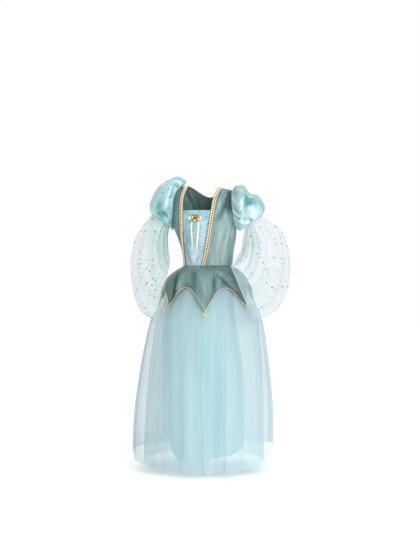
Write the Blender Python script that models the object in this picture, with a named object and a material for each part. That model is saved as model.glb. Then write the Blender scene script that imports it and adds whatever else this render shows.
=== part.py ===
"""A child's princess costume dress in its worn form, empty and held at the shoulders.

Metres, +Z up. The origin lies between the two shoulder seams, and the front faces -Y.
Angles are in degrees round the body: 0 is straight ahead and 90 is +X. Left and right
are as seen from the front. Each cloth piece is a wall with an inner and an outer face,
worked out from the tables and sizes below.
"""

import math
from collections import namedtuple

import bpy
import numpy as np

# Cloth thicknesses and gaps
VELOUR = 0.0018
BROCADE = 0.0015
SATIN = 0.0013
ORGANZA = 0.0011
TULLE = 0.0010
LINING = 0.0012
SEAM_GAP = 0.0003
LAID_GAP = 0.0006
SEAM_ANGLE = 0.08

# Heights on the figure
WAIST = -0.2925
UNDERARM = -0.150
SHOULDER_HEIGHT = 0.005
SHOULDER_TILT = -0.055
SHOULDER_DROP = 0.9

# The figure under the bodice. turn is how far the bodice is twisted round the body, and
# seam_left and seam_right are where the insert meets the two fronts.
Torso = namedtuple("Torso", "height centre_x half_width half_depth turn seam_left seam_right")
TORSO = [
    Torso(-0.2925, 0.0105, 0.0895, 0.078, -38.0, -65.0, -14.2),
    Torso(-0.2360, 0.0105, 0.0940, 0.080, -35.0, -65.0, -6.4),
    Torso(-0.1840, 0.0050, 0.1070, 0.086, -25.0, -52.2, 1.6),
    Torso(-0.1500, 0.0000, 0.1155, 0.089, -19.0, -44.0, 6.3),
    Torso(-0.0940, -0.0010, 0.1260, 0.089, -14.0, -39.6, 10.3),
    Torso(-0.0340, -0.0010, 0.1220, 0.089, -9.0, -38.0, 17.3),
    Torso(0.0000, 0.0000, 0.1060, 0.089, 0.0, -35.5, 28.2),
]

# Level 0 is the waist, 1 the underarm and 2 the shoulder seam. The armhole's edges are
# angles from straight ahead, and from straight behind.
Armhole = namedtuple("Armhole", "level front back")
ARMHOLE = [
    Armhole(1.00, 90.0, 90.0),
    Armhole(1.03, 84.0, 85.0),
    Armhole(1.10, 76.0, 78.0),
    Armhole(1.25, 67.0, 70.0),
    Armhole(1.50, 62.0, 66.0),
    Armhole(1.75, 64.0, 67.0),
    Armhole(2.00, 74.0, 74.0),
]
BODICE_LEVELS = [0, 0.25, 0.5, 0.75, 1, 1.06, 1.15, 1.26, 1.4, 1.54, 1.66, 1.78, 1.89, 1.997]
INSERT_TOP = 1.26
BACK_NECK_ANGLE = 38.0
BACK_NECK_DROP = 0.44
BODICE_COLUMNS = 7
INSERT_COLUMNS = 5

# Braid
BRAID_WIDTH = 0.014
BRAID_THICKNESS = 0.0024
BRAID_OVERLAP = 0.002
BRAID_COLUMNS = 3

# Waves round a piece: their count, their share of the depth and their phase in radians
Wave = namedtuple("Wave", "count share phase")

# A sleeve's rings, each seen from its inner end, at the body, to its outer end. lean
# pushes the outer end towards the neck, and LEAN_POWER keeps the rest of the ring still.
Ring = namedtuple("Ring", "inner_x inner_z outer_x outer_z inner_y outer_y half_depth lean")
PUFF = {
    "left": [
        Ring(-0.1235, -0.1550, -0.116, 0.020, 0.026, 0.002, 0.064, 0.046),
        Ring(-0.1255, -0.1535, -0.122, 0.041, 0.024, 0.003, 0.074, 0.022),
        Ring(-0.1285, -0.1515, -0.144, 0.026, 0.020, 0.004, 0.080, 0.006),
        Ring(-0.1290, -0.1510, -0.176, -0.002, 0.018, 0.003, 0.082, 0.0),
        Ring(-0.1300, -0.1490, -0.203, -0.055, 0.012, 0.002, 0.074, 0.0),
        Ring(-0.1315, -0.1455, -0.204, -0.088, 0.008, 0.002, 0.052, 0.0),
        Ring(-0.1325, -0.1400, -0.198, -0.0985, 0.006, 0.002, 0.040, 0.0),
    ],
    "right": [
        Ring(0.1225, -0.1560, 0.120, 0.006, -0.026, -0.002, 0.066, 0.004),
        Ring(0.1280, -0.1590, 0.144, 0.007, -0.025, -0.002, 0.078, 0.0),
        Ring(0.1325, -0.1590, 0.168, -0.024, -0.024, -0.004, 0.075, 0.0),
        Ring(0.1370, -0.1580, 0.200, -0.034, -0.022, -0.006, 0.080, 0.0),
        Ring(0.1420, -0.1550, 0.222, -0.070, -0.019, -0.008, 0.072, 0.0),
        Ring(0.1460, -0.1525, 0.219, -0.096, -0.017, -0.010, 0.052, 0.0),
        Ring(0.1490, -0.1480, 0.2135, -0.105, -0.016, -0.010, 0.039, 0.0),
    ],
}
BELL = {
    "left": [
        Ring(-0.1325, -0.1400, -0.198, -0.0985, 0.006, 0.002, 0.040, 0.0),
        Ring(-0.1390, -0.1750, -0.257, -0.176, 0.010, 0.020, 0.058, 0.0),
        Ring(-0.1390, -0.2140, -0.275, -0.278, -0.020, -0.015, 0.074, 0.0),
        Ring(-0.1350, -0.2510, -0.258, -0.386, -0.070, -0.085, 0.080, 0.0),
        Ring(-0.1310, -0.2660, -0.226, -0.456, -0.096, -0.122, 0.076, 0.0),
        Ring(-0.1275, -0.2775, -0.178, -0.483, -0.120, -0.160, 0.064, 0.0),
    ],
    "right": [
        Ring(0.1490, -0.1480, 0.2135, -0.105, -0.016, -0.010, 0.039, 0.0),
        Ring(0.1425, -0.1950, 0.289, -0.165, -0.012, 0.010, 0.062, 0.0),
        Ring(0.1350, -0.2325, 0.311, -0.2625, -0.060, -0.055, 0.080, 0.0),
        Ring(0.1200, -0.2625, 0.300, -0.3700, -0.115, -0.130, 0.080, 0.0),
        Ring(0.1080, -0.2790, 0.250, -0.4550, -0.142, -0.172, 0.076, 0.0),
        Ring(0.0940, -0.2925, 0.170, -0.4780, -0.165, -0.210, 0.064, 0.0),
    ],
}
SIDES = {"left": -1, "right": 1}
LEAN_POWER = 6
ARMHOLE_CLEARANCE = 0.0024
ARMHOLE_LIFT = 0.0018
SLEEVE_SEAM_GAP = 0.0006
PUFF_COLUMNS = 32
PUFF_ROWS = 11
PUFF_GATHERS = [Wave(8, 1.0, 0.0), Wave(5, 0.5, 1.0)]
PUFF_GATHER_DEPTH = 0.0045
BELL_COLUMNS = 24
BELL_ROWS = 11
BELL_FOLDS = [Wave(5, 1.0, 0.6), Wave(3, 0.5, 2.0)]
BELL_FOLD_DEPTH = 0.007

# Half-widths of the skirt's layers, from the hem up to the waist seam. The lining hangs
# further left than the tulle, so it has its own centre.
Skirt = namedtuple("Skirt", "height centre_x lining_x depth_ratio lining inner outer peplum")
SKIRT = [
    Skirt(-1.0400, -0.0060, -0.0070, 0.93, 0.1480, 0.2230, 0.2630, 0.2700),
    Skirt(-0.9500, -0.0060, -0.0070, 0.93, 0.1480, 0.2210, 0.2620, 0.2690),
    Skirt(-0.8250, -0.0030, -0.0065, 0.93, 0.1505, 0.2170, 0.2580, 0.2650),
    Skirt(-0.7000, 0.0000, -0.0090, 0.93, 0.1480, 0.2100, 0.2440, 0.2510),
    Skirt(-0.5800, 0.0030, -0.0175, 0.92, 0.1400, 0.1980, 0.2260, 0.2350),
    Skirt(-0.4900, 0.0055, -0.0200, 0.92, 0.1310, 0.1860, 0.2060, 0.2120),
    Skirt(-0.4400, 0.0060, -0.0170, 0.92, 0.1240, 0.1640, 0.1800, 0.1865),
    Skirt(-0.4000, 0.0060, -0.0100, 0.91, 0.1160, 0.1490, 0.1620, 0.1685),
    Skirt(-0.3600, 0.0060, -0.0010, 0.90, 0.1080, 0.1380, 0.1490, 0.1555),
    Skirt(-0.3250, 0.0080, 0.0060, 0.89, 0.0995, 0.1190, 0.1290, 0.1360),
    Skirt(-0.3060, 0.0100, 0.0098, 0.88, 0.0910, 0.1000, 0.1060, 0.1120),
    Skirt(-0.2930, 0.0105, 0.0105, 0.872, 0.0848, 0.0866, 0.0881, 0.0896),
]
SKIRT_TOP = -0.2930
ROW_DEPTHS = [1.0, 0.86, 0.70, 0.54, 0.39, 0.26, 0.155, 0.08, 0.03, 0.0]

# A layer's column in SKIRT, its wall, its folds and its hem's height in front and at the sides
Layer = namedtuple("Layer", "column wall columns fold_depth folds hem_front hem_side")
LAYERS = {
    "lining": Layer(
        "lining", LINING, 16, 0.0050,
        [Wave(8, 0.55, 0.4), Wave(5, 0.30, 0.8), Wave(3, 0.15, 0.0)], -1.005, -0.975,
    ),
    "tulle_inner": Layer(
        "inner", TULLE, 24, 0.0080,
        [Wave(11, 0.55, 1.1), Wave(7, 0.30, 2.2), Wave(4, 0.15, 0.0)], -1.030, -1.025,
    ),
    "tulle_outer": Layer(
        "outer", TULLE, 30, 0.0110,
        [Wave(12, 0.55, 2.0), Wave(9, 0.30, 4.0), Wave(5, 0.15, 0.0)], -1.025, -0.970,
    ),
}
HEM_WAVE = 0.006
HEM_PHASE = 1.0
FOLDS_BEGIN_AT = -0.30
FOLDS_FULL_AT = -0.62

# The peplum's petals: each starts at an arch and has its tip before the next one's start
Petal = namedtuple("Petal", "start tip end")
FRONT_PETALS = [Petal(-84.0, -46.5, -26.5), Petal(-26.5, -1.5, 23.5), Petal(23.5, 48.0, 80.0)]
BACK_RIGHT_PETALS = [Petal(80.0, 106.0, 132.0), Petal(132.0, 156.5, 181.0)]
BACK_LEFT_PETALS = [Petal(181.0, 205.0, 229.0), Petal(229.0, 252.5, 276.0)]
ARCH_FRONT = -0.378
ARCH_SIDE = -0.356
PETAL_DROP_FRONT = 0.080
PETAL_DROP_SIDE = 0.068
PETAL_CURVE = 2.0
HALF_PETAL_COLUMNS = 5
PEPLUM_ROWS = [0.0, 0.33, 0.57, 0.79, 1.0]
PEPLUM_FOLD_DEPTH = 0.0030
PEPLUM_FOLDS = [Wave(7, 1.0, 0.5)]
PEPLUM_FOLDS_FULL_AT = -0.40
CORD_RADIUS = 0.0012
CORD_SIDES = 5
CORD_INSET = 0.1

# Star charms. The profile gives a star's size from its back to its front.
STAR_RADIUS = 0.0105
STAR_WAIST = 0.46
STAR_THICKNESS = 0.0020
STAR_POINTS = 5
Slice = namedtuple("Slice", "scale lift")
STAR_PROFILE = [Slice(0.86, 0.0), Slice(1.0, 0.3), Slice(1.0, 0.7), Slice(0.86, 1.0)]

# Ribbon bow and rosette on the insert
BOW_ANGLE = -15.5
BOW_LEVEL = 1.13
Section = namedtuple("Section", "along half_height half_thickness")
BOW = [
    Section(-0.0270, 0.0012, 0.0006),
    Section(-0.0255, 0.0052, 0.0012),
    Section(-0.0180, 0.0068, 0.0015),
    Section(-0.0080, 0.0048, 0.0013),
    Section(-0.0030, 0.0032, 0.0012),
    Section(0.0030, 0.0032, 0.0012),
    Section(0.0080, 0.0048, 0.0013),
    Section(0.0160, 0.0064, 0.0015),
    Section(0.0205, 0.0048, 0.0012),
    Section(0.0215, 0.0012, 0.0006),
]
BOW_SIDES = 8
ROSETTE_WIDTH = 0.036
ROSETTE_HEIGHT = 0.031
ROSETTE_PETALS = 8
ROSETTE_SCALLOP = 0.09
ROSETTE_COLUMNS = 32
Dome = namedtuple("Dome", "radius lift")
ROSETTE = [
    Dome(0.90, 0.0), Dome(1.00, 0.0012), Dome(0.86, 0.0034), Dome(0.62, 0.0040), Dome(0.40, 0.0030),
]
TAIL_WIDTH = 0.0062
TAIL_THICKNESS = 0.0008
TAIL_WAVE = 0.0012
TAIL_WAVES = 1.25
TailRow = namedtuple("TailRow", "along level angle")
TAILS = {
    "tail_left": [
        TailRow(0.0, 1.085, -22.5),
        TailRow(0.3, 0.980, -25.0),
        TailRow(0.6, 0.780, -28.4),
        TailRow(1.0, 0.500, -33.0),
    ],
    "tail_right": [
        TailRow(0.0, 1.085, -10.5),
        TailRow(0.3, 0.940, -12.5),
        TailRow(0.6, 0.700, -18.0),
        TailRow(1.0, 0.368, -26.3),
    ],
}
TAIL_ROWS = 10

# Finishes: sRGB hex colour, roughness, metallic
FINISHES = {
    "bodice": ("7f9f9c", 0.85, 0.0),
    "insert": ("b8dbe2", 0.45, 0.0),
    "braid": ("e6cf9a", 0.40, 0.5),
    "puff": ("a9d3d6", 0.38, 0.0),
    "bell": ("d9ecee", 0.50, 0.0),
    "peplum": ("78989a", 0.85, 0.0),
    "cord": ("cdbf92", 0.40, 0.3),
    "star": ("e8d37c", 0.30, 0.8),
    "lining": ("a9d3d8", 0.60, 0.0),
    "tulle": ("c4e2e6", 0.70, 0.0),
    "bow": ("f3efd8", 0.35, 0.0),
    "tail": ("f3efd8", 0.35, 0.0),
    "rosette": ("b59a4e", 0.35, 0.7),
}
STEP = 1e-4


def clear_scene():
    for obj in list(bpy.data.objects):
        bpy.data.objects.remove(obj, do_unlink=True)


def linear(code):
    """An sRGB hex code as linear red, green, blue and alpha."""
    channels = [int(code[i:i + 2], 16) / 255 for i in (0, 2, 4)]
    curve = [c / 12.92 if c <= 0.04045 else ((c + 0.055) / 1.055) ** 2.4 for c in channels]
    return (*curve, 1.0)


def material_for(name):
    """The piece's own material, with the finish that its name starts with."""
    code, roughness, metallic = FINISHES[name.split("_")[0]]
    material = bpy.data.materials.new(name)
    material.use_nodes = True
    shader = material.node_tree.nodes["Principled BSDF"]
    shader.inputs["Base Color"].default_value = linear(code)
    shader.inputs["Roughness"].default_value = roughness
    shader.inputs["Metallic"].default_value = metallic
    material.diffuse_color = linear(code)
    return material


def add_object(name, points, faces):
    mesh = bpy.data.meshes.new(name)
    mesh.from_pydata([tuple(point) for point in points], [], faces)
    mesh.shade_smooth()
    mesh.materials.append(material_for(name))
    obj = bpy.data.objects.new(name, mesh)
    bpy.context.scene.collection.objects.link(obj)
    return obj


def smooth(table, column, at):
    """A smooth curve through one column of a table whose first column rises, read at a place."""
    places = np.array([row[0] for row in table])
    values = np.array([getattr(row, column) for row in table])
    slopes = np.gradient(values, places)
    i = np.clip(np.searchsorted(places, at) - 1, 0, len(places) - 2)
    span = places[i + 1] - places[i]
    t = (at - places[i]) / span
    start = (1 + 2 * t) * (1 - t) ** 2 * values[i] + t * (1 - t) ** 2 * span * slopes[i]
    end = t * t * (3 - 2 * t) * values[i + 1] - t * t * (1 - t) * span * slopes[i + 1]
    return start + end


def ramp(value, start, end):
    """0 before start, 1 after end and smooth between."""
    t = np.clip((value - start) / (end - start), 0, 1)
    return t * t * (3 - 2 * t)


def lifted(surface, across, up, lift, level=False):
    """Points of a surface at each pair of across and up, moved out along its normal. With
    level, they are moved out horizontally."""
    u, v = np.meshgrid(across, up)
    along = surface(u + STEP, v) - surface(u - STEP, v)
    rise = surface(u, v + STEP) - surface(u, v - STEP)
    normal = np.cross(along, rise)
    if level:
        normal[..., 2] = 0
    normal /= np.linalg.norm(normal, axis=-1, keepdims=True)
    return surface(u, v) + normal * lift


def wall(name, outer, inner, closed=False):
    """A closed body between two grids of points. Rows run up, and columns round."""
    rows, columns = outer.shape[:2]
    count = rows * columns
    index = np.arange(count).reshape(rows, columns)
    if closed:
        index = np.hstack([index, index[:, :1]])
    faces = []
    for low, high in zip(index[:-1], index[1:]):
        for a, b, c, d in zip(low, low[1:], high[1:], high):
            faces += [(a, b, c), (a, c, d)]
            faces += [(c + count, b + count, a + count), (d + count, c + count, a + count)]
    borders = [list(index[0][::-1]), list(index[-1])]
    if not closed:
        borders += [list(index[:, 0]), list(index[:, -1][::-1])]
    for border in borders:
        for a, b in zip(border, border[1:]):
            faces += [(a, b, b + count), (a, b + count, a + count)]
    points = np.concatenate([outer.reshape(-1, 3), inner.reshape(-1, 3)])
    return add_object(name, points, [tuple(int(i) for i in face) for face in faces])


def capped(name, rings):
    """A closed body through rings of points, with a flat cap at each end."""
    rows, columns = rings.shape[:2]
    faces = []
    for row in range(rows - 1):
        for column in range(columns):
            a = row * columns + column
            b = row * columns + (column + 1) % columns
            faces += [(a, b, b + columns), (a, b + columns, a + columns)]
    last = (rows - 1) * columns
    faces.append(tuple(reversed(range(columns))))
    faces.append(tuple(range(last, last + columns)))
    return add_object(name, rings.reshape(-1, 3), faces)


def shoulder_turn(level):
    """The angle of the shoulder's curve, from 0 at the underarm to 90 degrees at its seam."""
    return np.maximum(level - 1, 0) * math.pi / 2


def nominal_height(level):
    below = WAIST + (UNDERARM - WAIST) * level
    above = UNDERARM * (1 - np.sin(shoulder_turn(level)))
    return np.where(level < 1, below, above)


def torso_value(column, level):
    return smooth(TORSO, column, nominal_height(level))


def torso(angle, level):
    """A point of the figure under the bodice."""
    sine = np.sin(np.radians(angle))
    cosine = np.cos(np.radians(angle))
    turn = shoulder_turn(level)
    x = torso_value("centre_x", level) + torso_value("half_width", level) * sine
    y = -torso_value("half_depth", level) * cosine * np.cos(turn)
    shoulder = SHOULDER_HEIGHT + SHOULDER_TILT * x - SHOULDER_DROP * x * x
    above = UNDERARM + (shoulder - UNDERARM) * np.sin(turn)
    z = np.where(level < 1, nominal_height(level), above)
    return np.stack([x, y, z], axis=-1)


def beside(angle, level, distance):
    """The angle that lies a distance along the figure from another."""
    wide = torso_value("half_width", level) * np.cos(np.radians(angle))
    deep = torso_value("half_depth", level) * np.cos(shoulder_turn(level)) * np.sin(np.radians(angle))
    return angle + np.degrees(distance / np.hypot(wide, deep))


def armhole(column, level):
    return np.where(level < 1, 90.0, smooth(ARMHOLE, column, np.maximum(level, 1)))


def front_edge(side, level):
    """The angle where a front ends: the side seam, and the armhole above it."""
    return side * armhole("front", level) + torso_value("turn", level)


def back_edge(side, level):
    return side * (180 - armhole("back", level)) + torso_value("turn", level)


def centre_back(level):
    return 180 + torso_value("turn", level)


def panel(start, end, top=None):
    """A surface between two edges, each an angle that depends on the level. It maps 0 to 1
    across and the levels upward, which top squeezes above the underarm."""
    def surface(u, v):
        level = v
        if top is not None:
            level = np.where(v > 1, 1 + (v - 1) * (top(u) - 1), v)
        first = start(level)
        return torso(first + (end(level) - first) * u, level)
    return surface


def cloth_panel(name, surface, columns, levels, thickness, lift=0.0):
    across = np.linspace(0, 1, columns + 1)
    outer = lifted(surface, across, levels, lift + thickness)
    inner = lifted(surface, across, levels, lift)
    return wall(name, outer, inner)


def back_neckline(u):
    """The top level of the right back: the shoulder seam, then the curve down to the middle."""
    tip = 180 - ARMHOLE[-1].back
    neck = (180 - BACK_NECK_ANGLE - tip) / (180 - tip)
    along = np.clip((u - neck) / (1 - neck), 0, 1)
    return 2 - BACK_NECK_DROP * np.sin(along * math.pi / 2)


def make_bodice():
    def seam_left(level):
        return torso_value("seam_left", level)

    def seam_right(level):
        return torso_value("seam_right", level)

    fronts = {
        "bodice_front_left": panel(
            lambda level: front_edge(-1, level) + SEAM_ANGLE,
            lambda level: seam_left(level) - SEAM_ANGLE,
        ),
        "bodice_front_right": panel(
            lambda level: seam_right(level) + SEAM_ANGLE,
            lambda level: front_edge(1, level) - SEAM_ANGLE,
        ),
    }
    backs = {
        "bodice_back_right": panel(
            lambda level: back_edge(1, level) + SEAM_ANGLE,
            lambda level: centre_back(level) - SEAM_ANGLE,
            back_neckline,
        ),
        "bodice_back_left": panel(
            lambda level: centre_back(level) + SEAM_ANGLE,
            lambda level: 360 + back_edge(-1, level) - SEAM_ANGLE,
            lambda u: back_neckline(1 - u),
        ),
    }
    for name, surface in {**fronts, **backs}.items():
        cloth_panel(name, surface, BODICE_COLUMNS, BODICE_LEVELS, VELOUR)
    insert = panel(
        lambda level: seam_left(level) + SEAM_ANGLE,
        lambda level: seam_right(level) - SEAM_ANGLE,
    )
    levels = [level for level in BODICE_LEVELS if level <= INSERT_TOP]
    cloth_panel("insert", insert, INSERT_COLUMNS, levels, BROCADE)
    for name, seam, side in (("braid_left", seam_left, -1), ("braid_right", seam_right, 1)):
        inside = -side * BRAID_OVERLAP
        outside = side * (BRAID_WIDTH - BRAID_OVERLAP)
        low, high = sorted((inside, outside))
        braid = panel(
            lambda level: beside(seam(level), level, low),
            lambda level: beside(seam(level), level, high),
        )
        cloth_panel(name, braid, BRAID_COLUMNS, BODICE_LEVELS, BRAID_THICKNESS, VELOUR + LAID_GAP)


def ring_points(ring, side, around):
    """A sleeve's ring: an ellipse from its outer end, leaning only there."""
    inner = np.array([ring.inner_x, ring.inner_y, ring.inner_z])
    outer = np.array([ring.outer_x, ring.outer_y, ring.outer_z])
    cosine = np.cos(around)[..., None]
    sine = np.sin(around)[..., None]
    forward = np.array([0, -side * ring.half_depth, 0])
    lean = np.array([-side * ring.lean, 0, 0]) * ((1 + cosine) / 2) ** LEAN_POWER
    return (inner + outer) / 2 + (outer - inner) / 2 * cosine + forward * sine + lean


def ring_centre(ring, shape):
    """The middle of a sleeve's ring, repeated over a grid of points."""
    inner = np.array([ring.inner_x, ring.inner_y, ring.inner_z])
    outer = np.array([ring.outer_x, ring.outer_y, ring.outer_z])
    return np.broadcast_to((inner + outer) / 2, shape)


def ripple(waves, turn):
    return sum(wave.share * np.cos(wave.count * turn + wave.phase) for wave in waves)


def armhole_points(side, around):
    """The armhole's edge as the sleeve's first ring, just clear of the bodice."""
    level = 1 + (1 + np.cos(around)) / 2
    front = np.sin(around) * side >= 0
    angle = np.where(front, front_edge(side, level), back_edge(side, level))
    top = ((1 + np.cos(around)) / 2)[..., None] ** 2
    return torso(angle, level) + [side * ARMHOLE_CLEARANCE, 0, 0] + top * [0, 0, ARMHOLE_LIFT]


def through(rings, along):
    """A smooth curve through rings of points, from 0 at the first to 1 at the last."""
    stack = np.stack(rings)
    last = len(rings) - 1
    place = np.clip(along, -STEP, 1 + STEP) * last
    i = np.clip(np.floor(place).astype(int), 0, last - 1)
    t = (place - i)[..., None]

    def pick(index):
        index = np.clip(index, 0, last)[None, ..., None]
        return np.take_along_axis(stack, np.broadcast_to(index, (1, *stack.shape[1:])), 0)[0]

    a, b, c, d = pick(i - 1), pick(i), pick(i + 1), pick(i + 2)
    cubic = (3 * (b - c) + d - a) * t ** 3 + (2 * a - 5 * b + 4 * c - d) * t ** 2
    return (cubic + (c - a) * t) / 2 + b


def pushed_out(rings, centres, along, push):
    """A smooth sleeve through rings, with its points moved away from its centre line."""
    points = through(rings, along)
    out = points - through(centres, along)
    out /= np.linalg.norm(out, axis=-1, keepdims=True)
    return points + out * push[..., None]


def puff_surface(side_name):
    side = SIDES[side_name]
    table = PUFF[side_name]

    def surface(around, along):
        rings = [armhole_points(side, around)]
        rings += [ring_points(ring, side, around) for ring in table]
        centres = [ring_centre(ring, rings[0].shape) for ring in (table[0], *table)]
        depth = PUFF_GATHER_DEPTH * np.sin(math.pi * np.clip(along, 0, 1))
        return pushed_out(rings, centres, along, depth * ripple(PUFF_GATHERS, around))
    return surface


def bell_surface(side_name):
    """The bell sleeve starts just below the puff, square to the seam between them."""
    side = SIDES[side_name]
    table = BELL[side_name]
    slope_x = table[0].outer_x - table[0].inner_x
    slope_z = table[0].outer_z - table[0].inner_z
    down = side * np.array([slope_z, 0, -slope_x])
    shift = down / np.linalg.norm(down) * SLEEVE_SEAM_GAP

    def surface(around, along):
        rings = [ring_points(ring, side, around) + shift for ring in table]
        centres = [ring_centre(ring, rings[0].shape) + shift for ring in table]
        depth = BELL_FOLD_DEPTH * ramp(along, 0, 1)
        return pushed_out(rings, centres, along, depth * ripple(BELL_FOLDS, around))
    return surface


def make_sleeve(name, surface, columns, rows, thickness):
    around = np.linspace(0, 2 * math.pi, columns, endpoint=False)
    along = np.linspace(0, 1, rows)
    outer = lifted(surface, around, along, 0.0)
    inner = lifted(surface, around, along, -thickness)
    return wall(name, outer, inner, closed=True)


def folds(layer, angle, height):
    """How far a layer's folds push it out: none at the waist, all of it low down."""
    depth = layer.fold_depth * ramp(-height, -FOLDS_BEGIN_AT, -FOLDS_FULL_AT)
    return depth * ripple(layer.folds, np.radians(angle))


def skirt_point(column, angle, height, push):
    sine = np.sin(np.radians(angle))
    cosine = np.cos(np.radians(angle))
    half_width = smooth(SKIRT, column, height)
    half_depth = half_width * smooth(SKIRT, "depth_ratio", height)
    centre = smooth(SKIRT, "lining_x" if column == "lining" else "centre_x", height)
    x = centre + (half_width + push) * sine
    return np.stack([x, -(half_depth + push) * cosine, height], axis=-1)


def hem_height(layer, angle):
    turn = np.radians(angle)
    middle = layer.hem_side + (layer.hem_front - layer.hem_side) * np.cos(turn) ** 2
    return middle + HEM_WAVE * np.cos(layer.folds[1].count * turn + HEM_PHASE)


def make_skirt():
    for name, layer in LAYERS.items():
        def surface(angle, depth):
            height = SKIRT_TOP + (hem_height(layer, angle) - SKIRT_TOP) * (1 - depth)
            push = folds(layer, angle, height)
            return skirt_point(layer.column, angle, height, push)

        up = 1 - np.array(ROW_DEPTHS)
        for half, middle in (("front", 0), ("back", 180)):
            edge = 90 - SEAM_ANGLE
            angles = np.linspace(middle - edge, middle + edge, layer.columns + 1)
            outer = lifted(surface, angles, up, layer.wall, level=True)
            inner = lifted(surface, angles, up, 0.0, level=True)
            wall(f"{name}_{half}", outer, inner)


def petal_edge(petals, angle):
    """The height of the peplum's edge: rounded between the petals, pointed at each tip, and
    lower in front than at the sides and back."""
    front = np.maximum(np.cos(np.radians(angle)), 0) ** 2
    height = ARCH_SIDE + (ARCH_FRONT - ARCH_SIDE) * front
    drop = PETAL_DROP_SIDE + (PETAL_DROP_FRONT - PETAL_DROP_SIDE) * front
    for petal in petals:
        before = (angle - petal.start) / (petal.tip - petal.start)
        after = (petal.end - angle) / (petal.end - petal.tip)
        near = np.clip(np.minimum(before, after), 0, 1)
        height = height - drop * near ** PETAL_CURVE
    return height


def peplum_surface(petals):
    def surface(angle, up):
        height = SKIRT_TOP + (petal_edge(petals, angle) - SKIRT_TOP) * (1 - up)
        own = 1 + ripple(PEPLUM_FOLDS, np.radians(angle))
        own = PEPLUM_FOLD_DEPTH * own * ramp(-height, -SKIRT_TOP, -PEPLUM_FOLDS_FULL_AT)
        push = folds(LAYERS["tulle_outer"], angle, height) + own
        return skirt_point("peplum", angle, height, push)
    return surface


def tube_along(path, outward, radius, sides):
    """Rings of a cord along a path, each square to it."""
    tangent = np.gradient(path, axis=0)
    tangent /= np.linalg.norm(tangent, axis=1, keepdims=True)
    side = np.cross(tangent, outward)
    side /= np.linalg.norm(side, axis=1, keepdims=True)
    face = np.cross(side, tangent)
    turns = np.linspace(0, 2 * math.pi, sides, endpoint=False)
    spokes = face[:, None] * np.cos(turns)[:, None] + side[:, None] * np.sin(turns)[:, None]
    return path[:, None] + radius * spokes


def make_star(name, centre, across, up, outward):
    """A star with a bevelled rim, flat against the cloth."""
    turns = np.linspace(0, 2 * math.pi, 2 * STAR_POINTS, endpoint=False)
    reach = np.where(np.arange(2 * STAR_POINTS) % 2, STAR_WAIST, 1.0) * STAR_RADIUS
    outline = np.sin(turns)[:, None] * across + np.cos(turns)[:, None] * up
    outline = outline * reach[:, None]
    rings = []
    for cut in STAR_PROFILE:
        rings.append(centre + outline[::-1] * cut.scale + outward * cut.lift * STAR_THICKNESS)
    return capped(name, np.array(rings))


def make_peplum():
    pieces = {
        "front": FRONT_PETALS,
        "back_right": BACK_RIGHT_PETALS,
        "back_left": BACK_LEFT_PETALS,
    }
    star = 0
    for name, petals in pieces.items():
        surface = peplum_surface(petals)
        angles = np.concatenate([
            np.concatenate([
                np.linspace(petal.start, petal.tip, HALF_PETAL_COLUMNS, endpoint=False),
                np.linspace(petal.tip, petal.end, HALF_PETAL_COLUMNS, endpoint=False),
            ])
            for petal in petals
        ] + [[petals[-1].end]])
        angles[0] += SEAM_ANGLE
        angles[-1] -= SEAM_ANGLE
        outer = lifted(surface, angles, PEPLUM_ROWS, VELOUR, level=True)
        inner = lifted(surface, angles, PEPLUM_ROWS, 0.0, level=True)
        wall(f"peplum_{name}", outer, inner)

        edge = outer[0]
        outward = outer[0] - inner[0]
        outward /= np.linalg.norm(outward, axis=1, keepdims=True)
        path = edge + outward * (CORD_RADIUS + SEAM_GAP) + np.array([0, 0, CORD_RADIUS / 2])
        path[0] += (path[1] - path[0]) * CORD_INSET
        path[-1] += (path[-2] - path[-1]) * CORD_INSET
        capped(f"cord_{name}", tube_along(path, outward, CORD_RADIUS, CORD_SIDES))

        for petal in range(len(petals)):
            star += 1
            middle = (2 * petal + 1) * HALF_PETAL_COLUMNS
            out = outward[middle]
            across = np.array([-out[1], out[0], 0.0])
            slope = edge[middle] - outer[1][middle]
            up_cloth = -slope / np.linalg.norm(slope)
            out_cloth = np.cross(across, up_cloth)
            out_cloth *= np.sign(out_cloth @ out)
            drop = STAR_RADIUS + CORD_RADIUS + SEAM_GAP
            centre = edge[middle] - up_cloth * drop + out_cloth * SEAM_GAP
            make_star(f"star_{star}", centre, across, up_cloth, out_cloth)


def insert_frame(lift):
    """A point in front of the insert at the bow, with its across, up and outward directions."""
    point = torso(np.array(BOW_ANGLE), np.array(BOW_LEVEL))
    across = torso(np.array(BOW_ANGLE + 1), np.array(BOW_LEVEL)) - point
    across /= np.linalg.norm(across)
    up = torso(np.array(BOW_ANGLE), np.array(BOW_LEVEL + 0.01)) - point
    outward = np.cross(across, up)
    outward /= np.linalg.norm(outward)
    return point + outward * lift, across, np.cross(outward, across), outward


def make_bow():
    knot = min(section.half_thickness for section in BOW[1:-1])
    thickest = max(section.half_thickness for section in BOW)
    middle = BROCADE + LAID_GAP + knot
    centre, across, up, outward = insert_frame(middle)
    turns = np.linspace(0, 2 * math.pi, BOW_SIDES, endpoint=False)
    rings = []
    for section in BOW:
        tall = np.cos(turns)[:, None] * up * section.half_height
        thick = np.sin(turns)[:, None] * outward * section.half_thickness
        rings.append(centre + across * section.along + tall - thick)
    capped("bow", np.array(rings)[:, ::-1])

    centre, across, up, outward = insert_frame(middle + thickest + SEAM_GAP)
    turns = np.linspace(0, 2 * math.pi, ROSETTE_COLUMNS, endpoint=False)
    scallop = 1 + ROSETTE_SCALLOP * np.cos(ROSETTE_PETALS * turns)
    rings = []
    for dome in ROSETTE:
        reach = dome.radius * scallop
        wide = (np.cos(turns) * reach)[:, None] * across * ROSETTE_WIDTH / 2
        tall = (np.sin(turns) * reach)[:, None] * up * ROSETTE_HEIGHT / 2
        rings.append(centre + wide + tall + outward * dome.lift)
    capped("rosette", np.array(rings))


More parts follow.
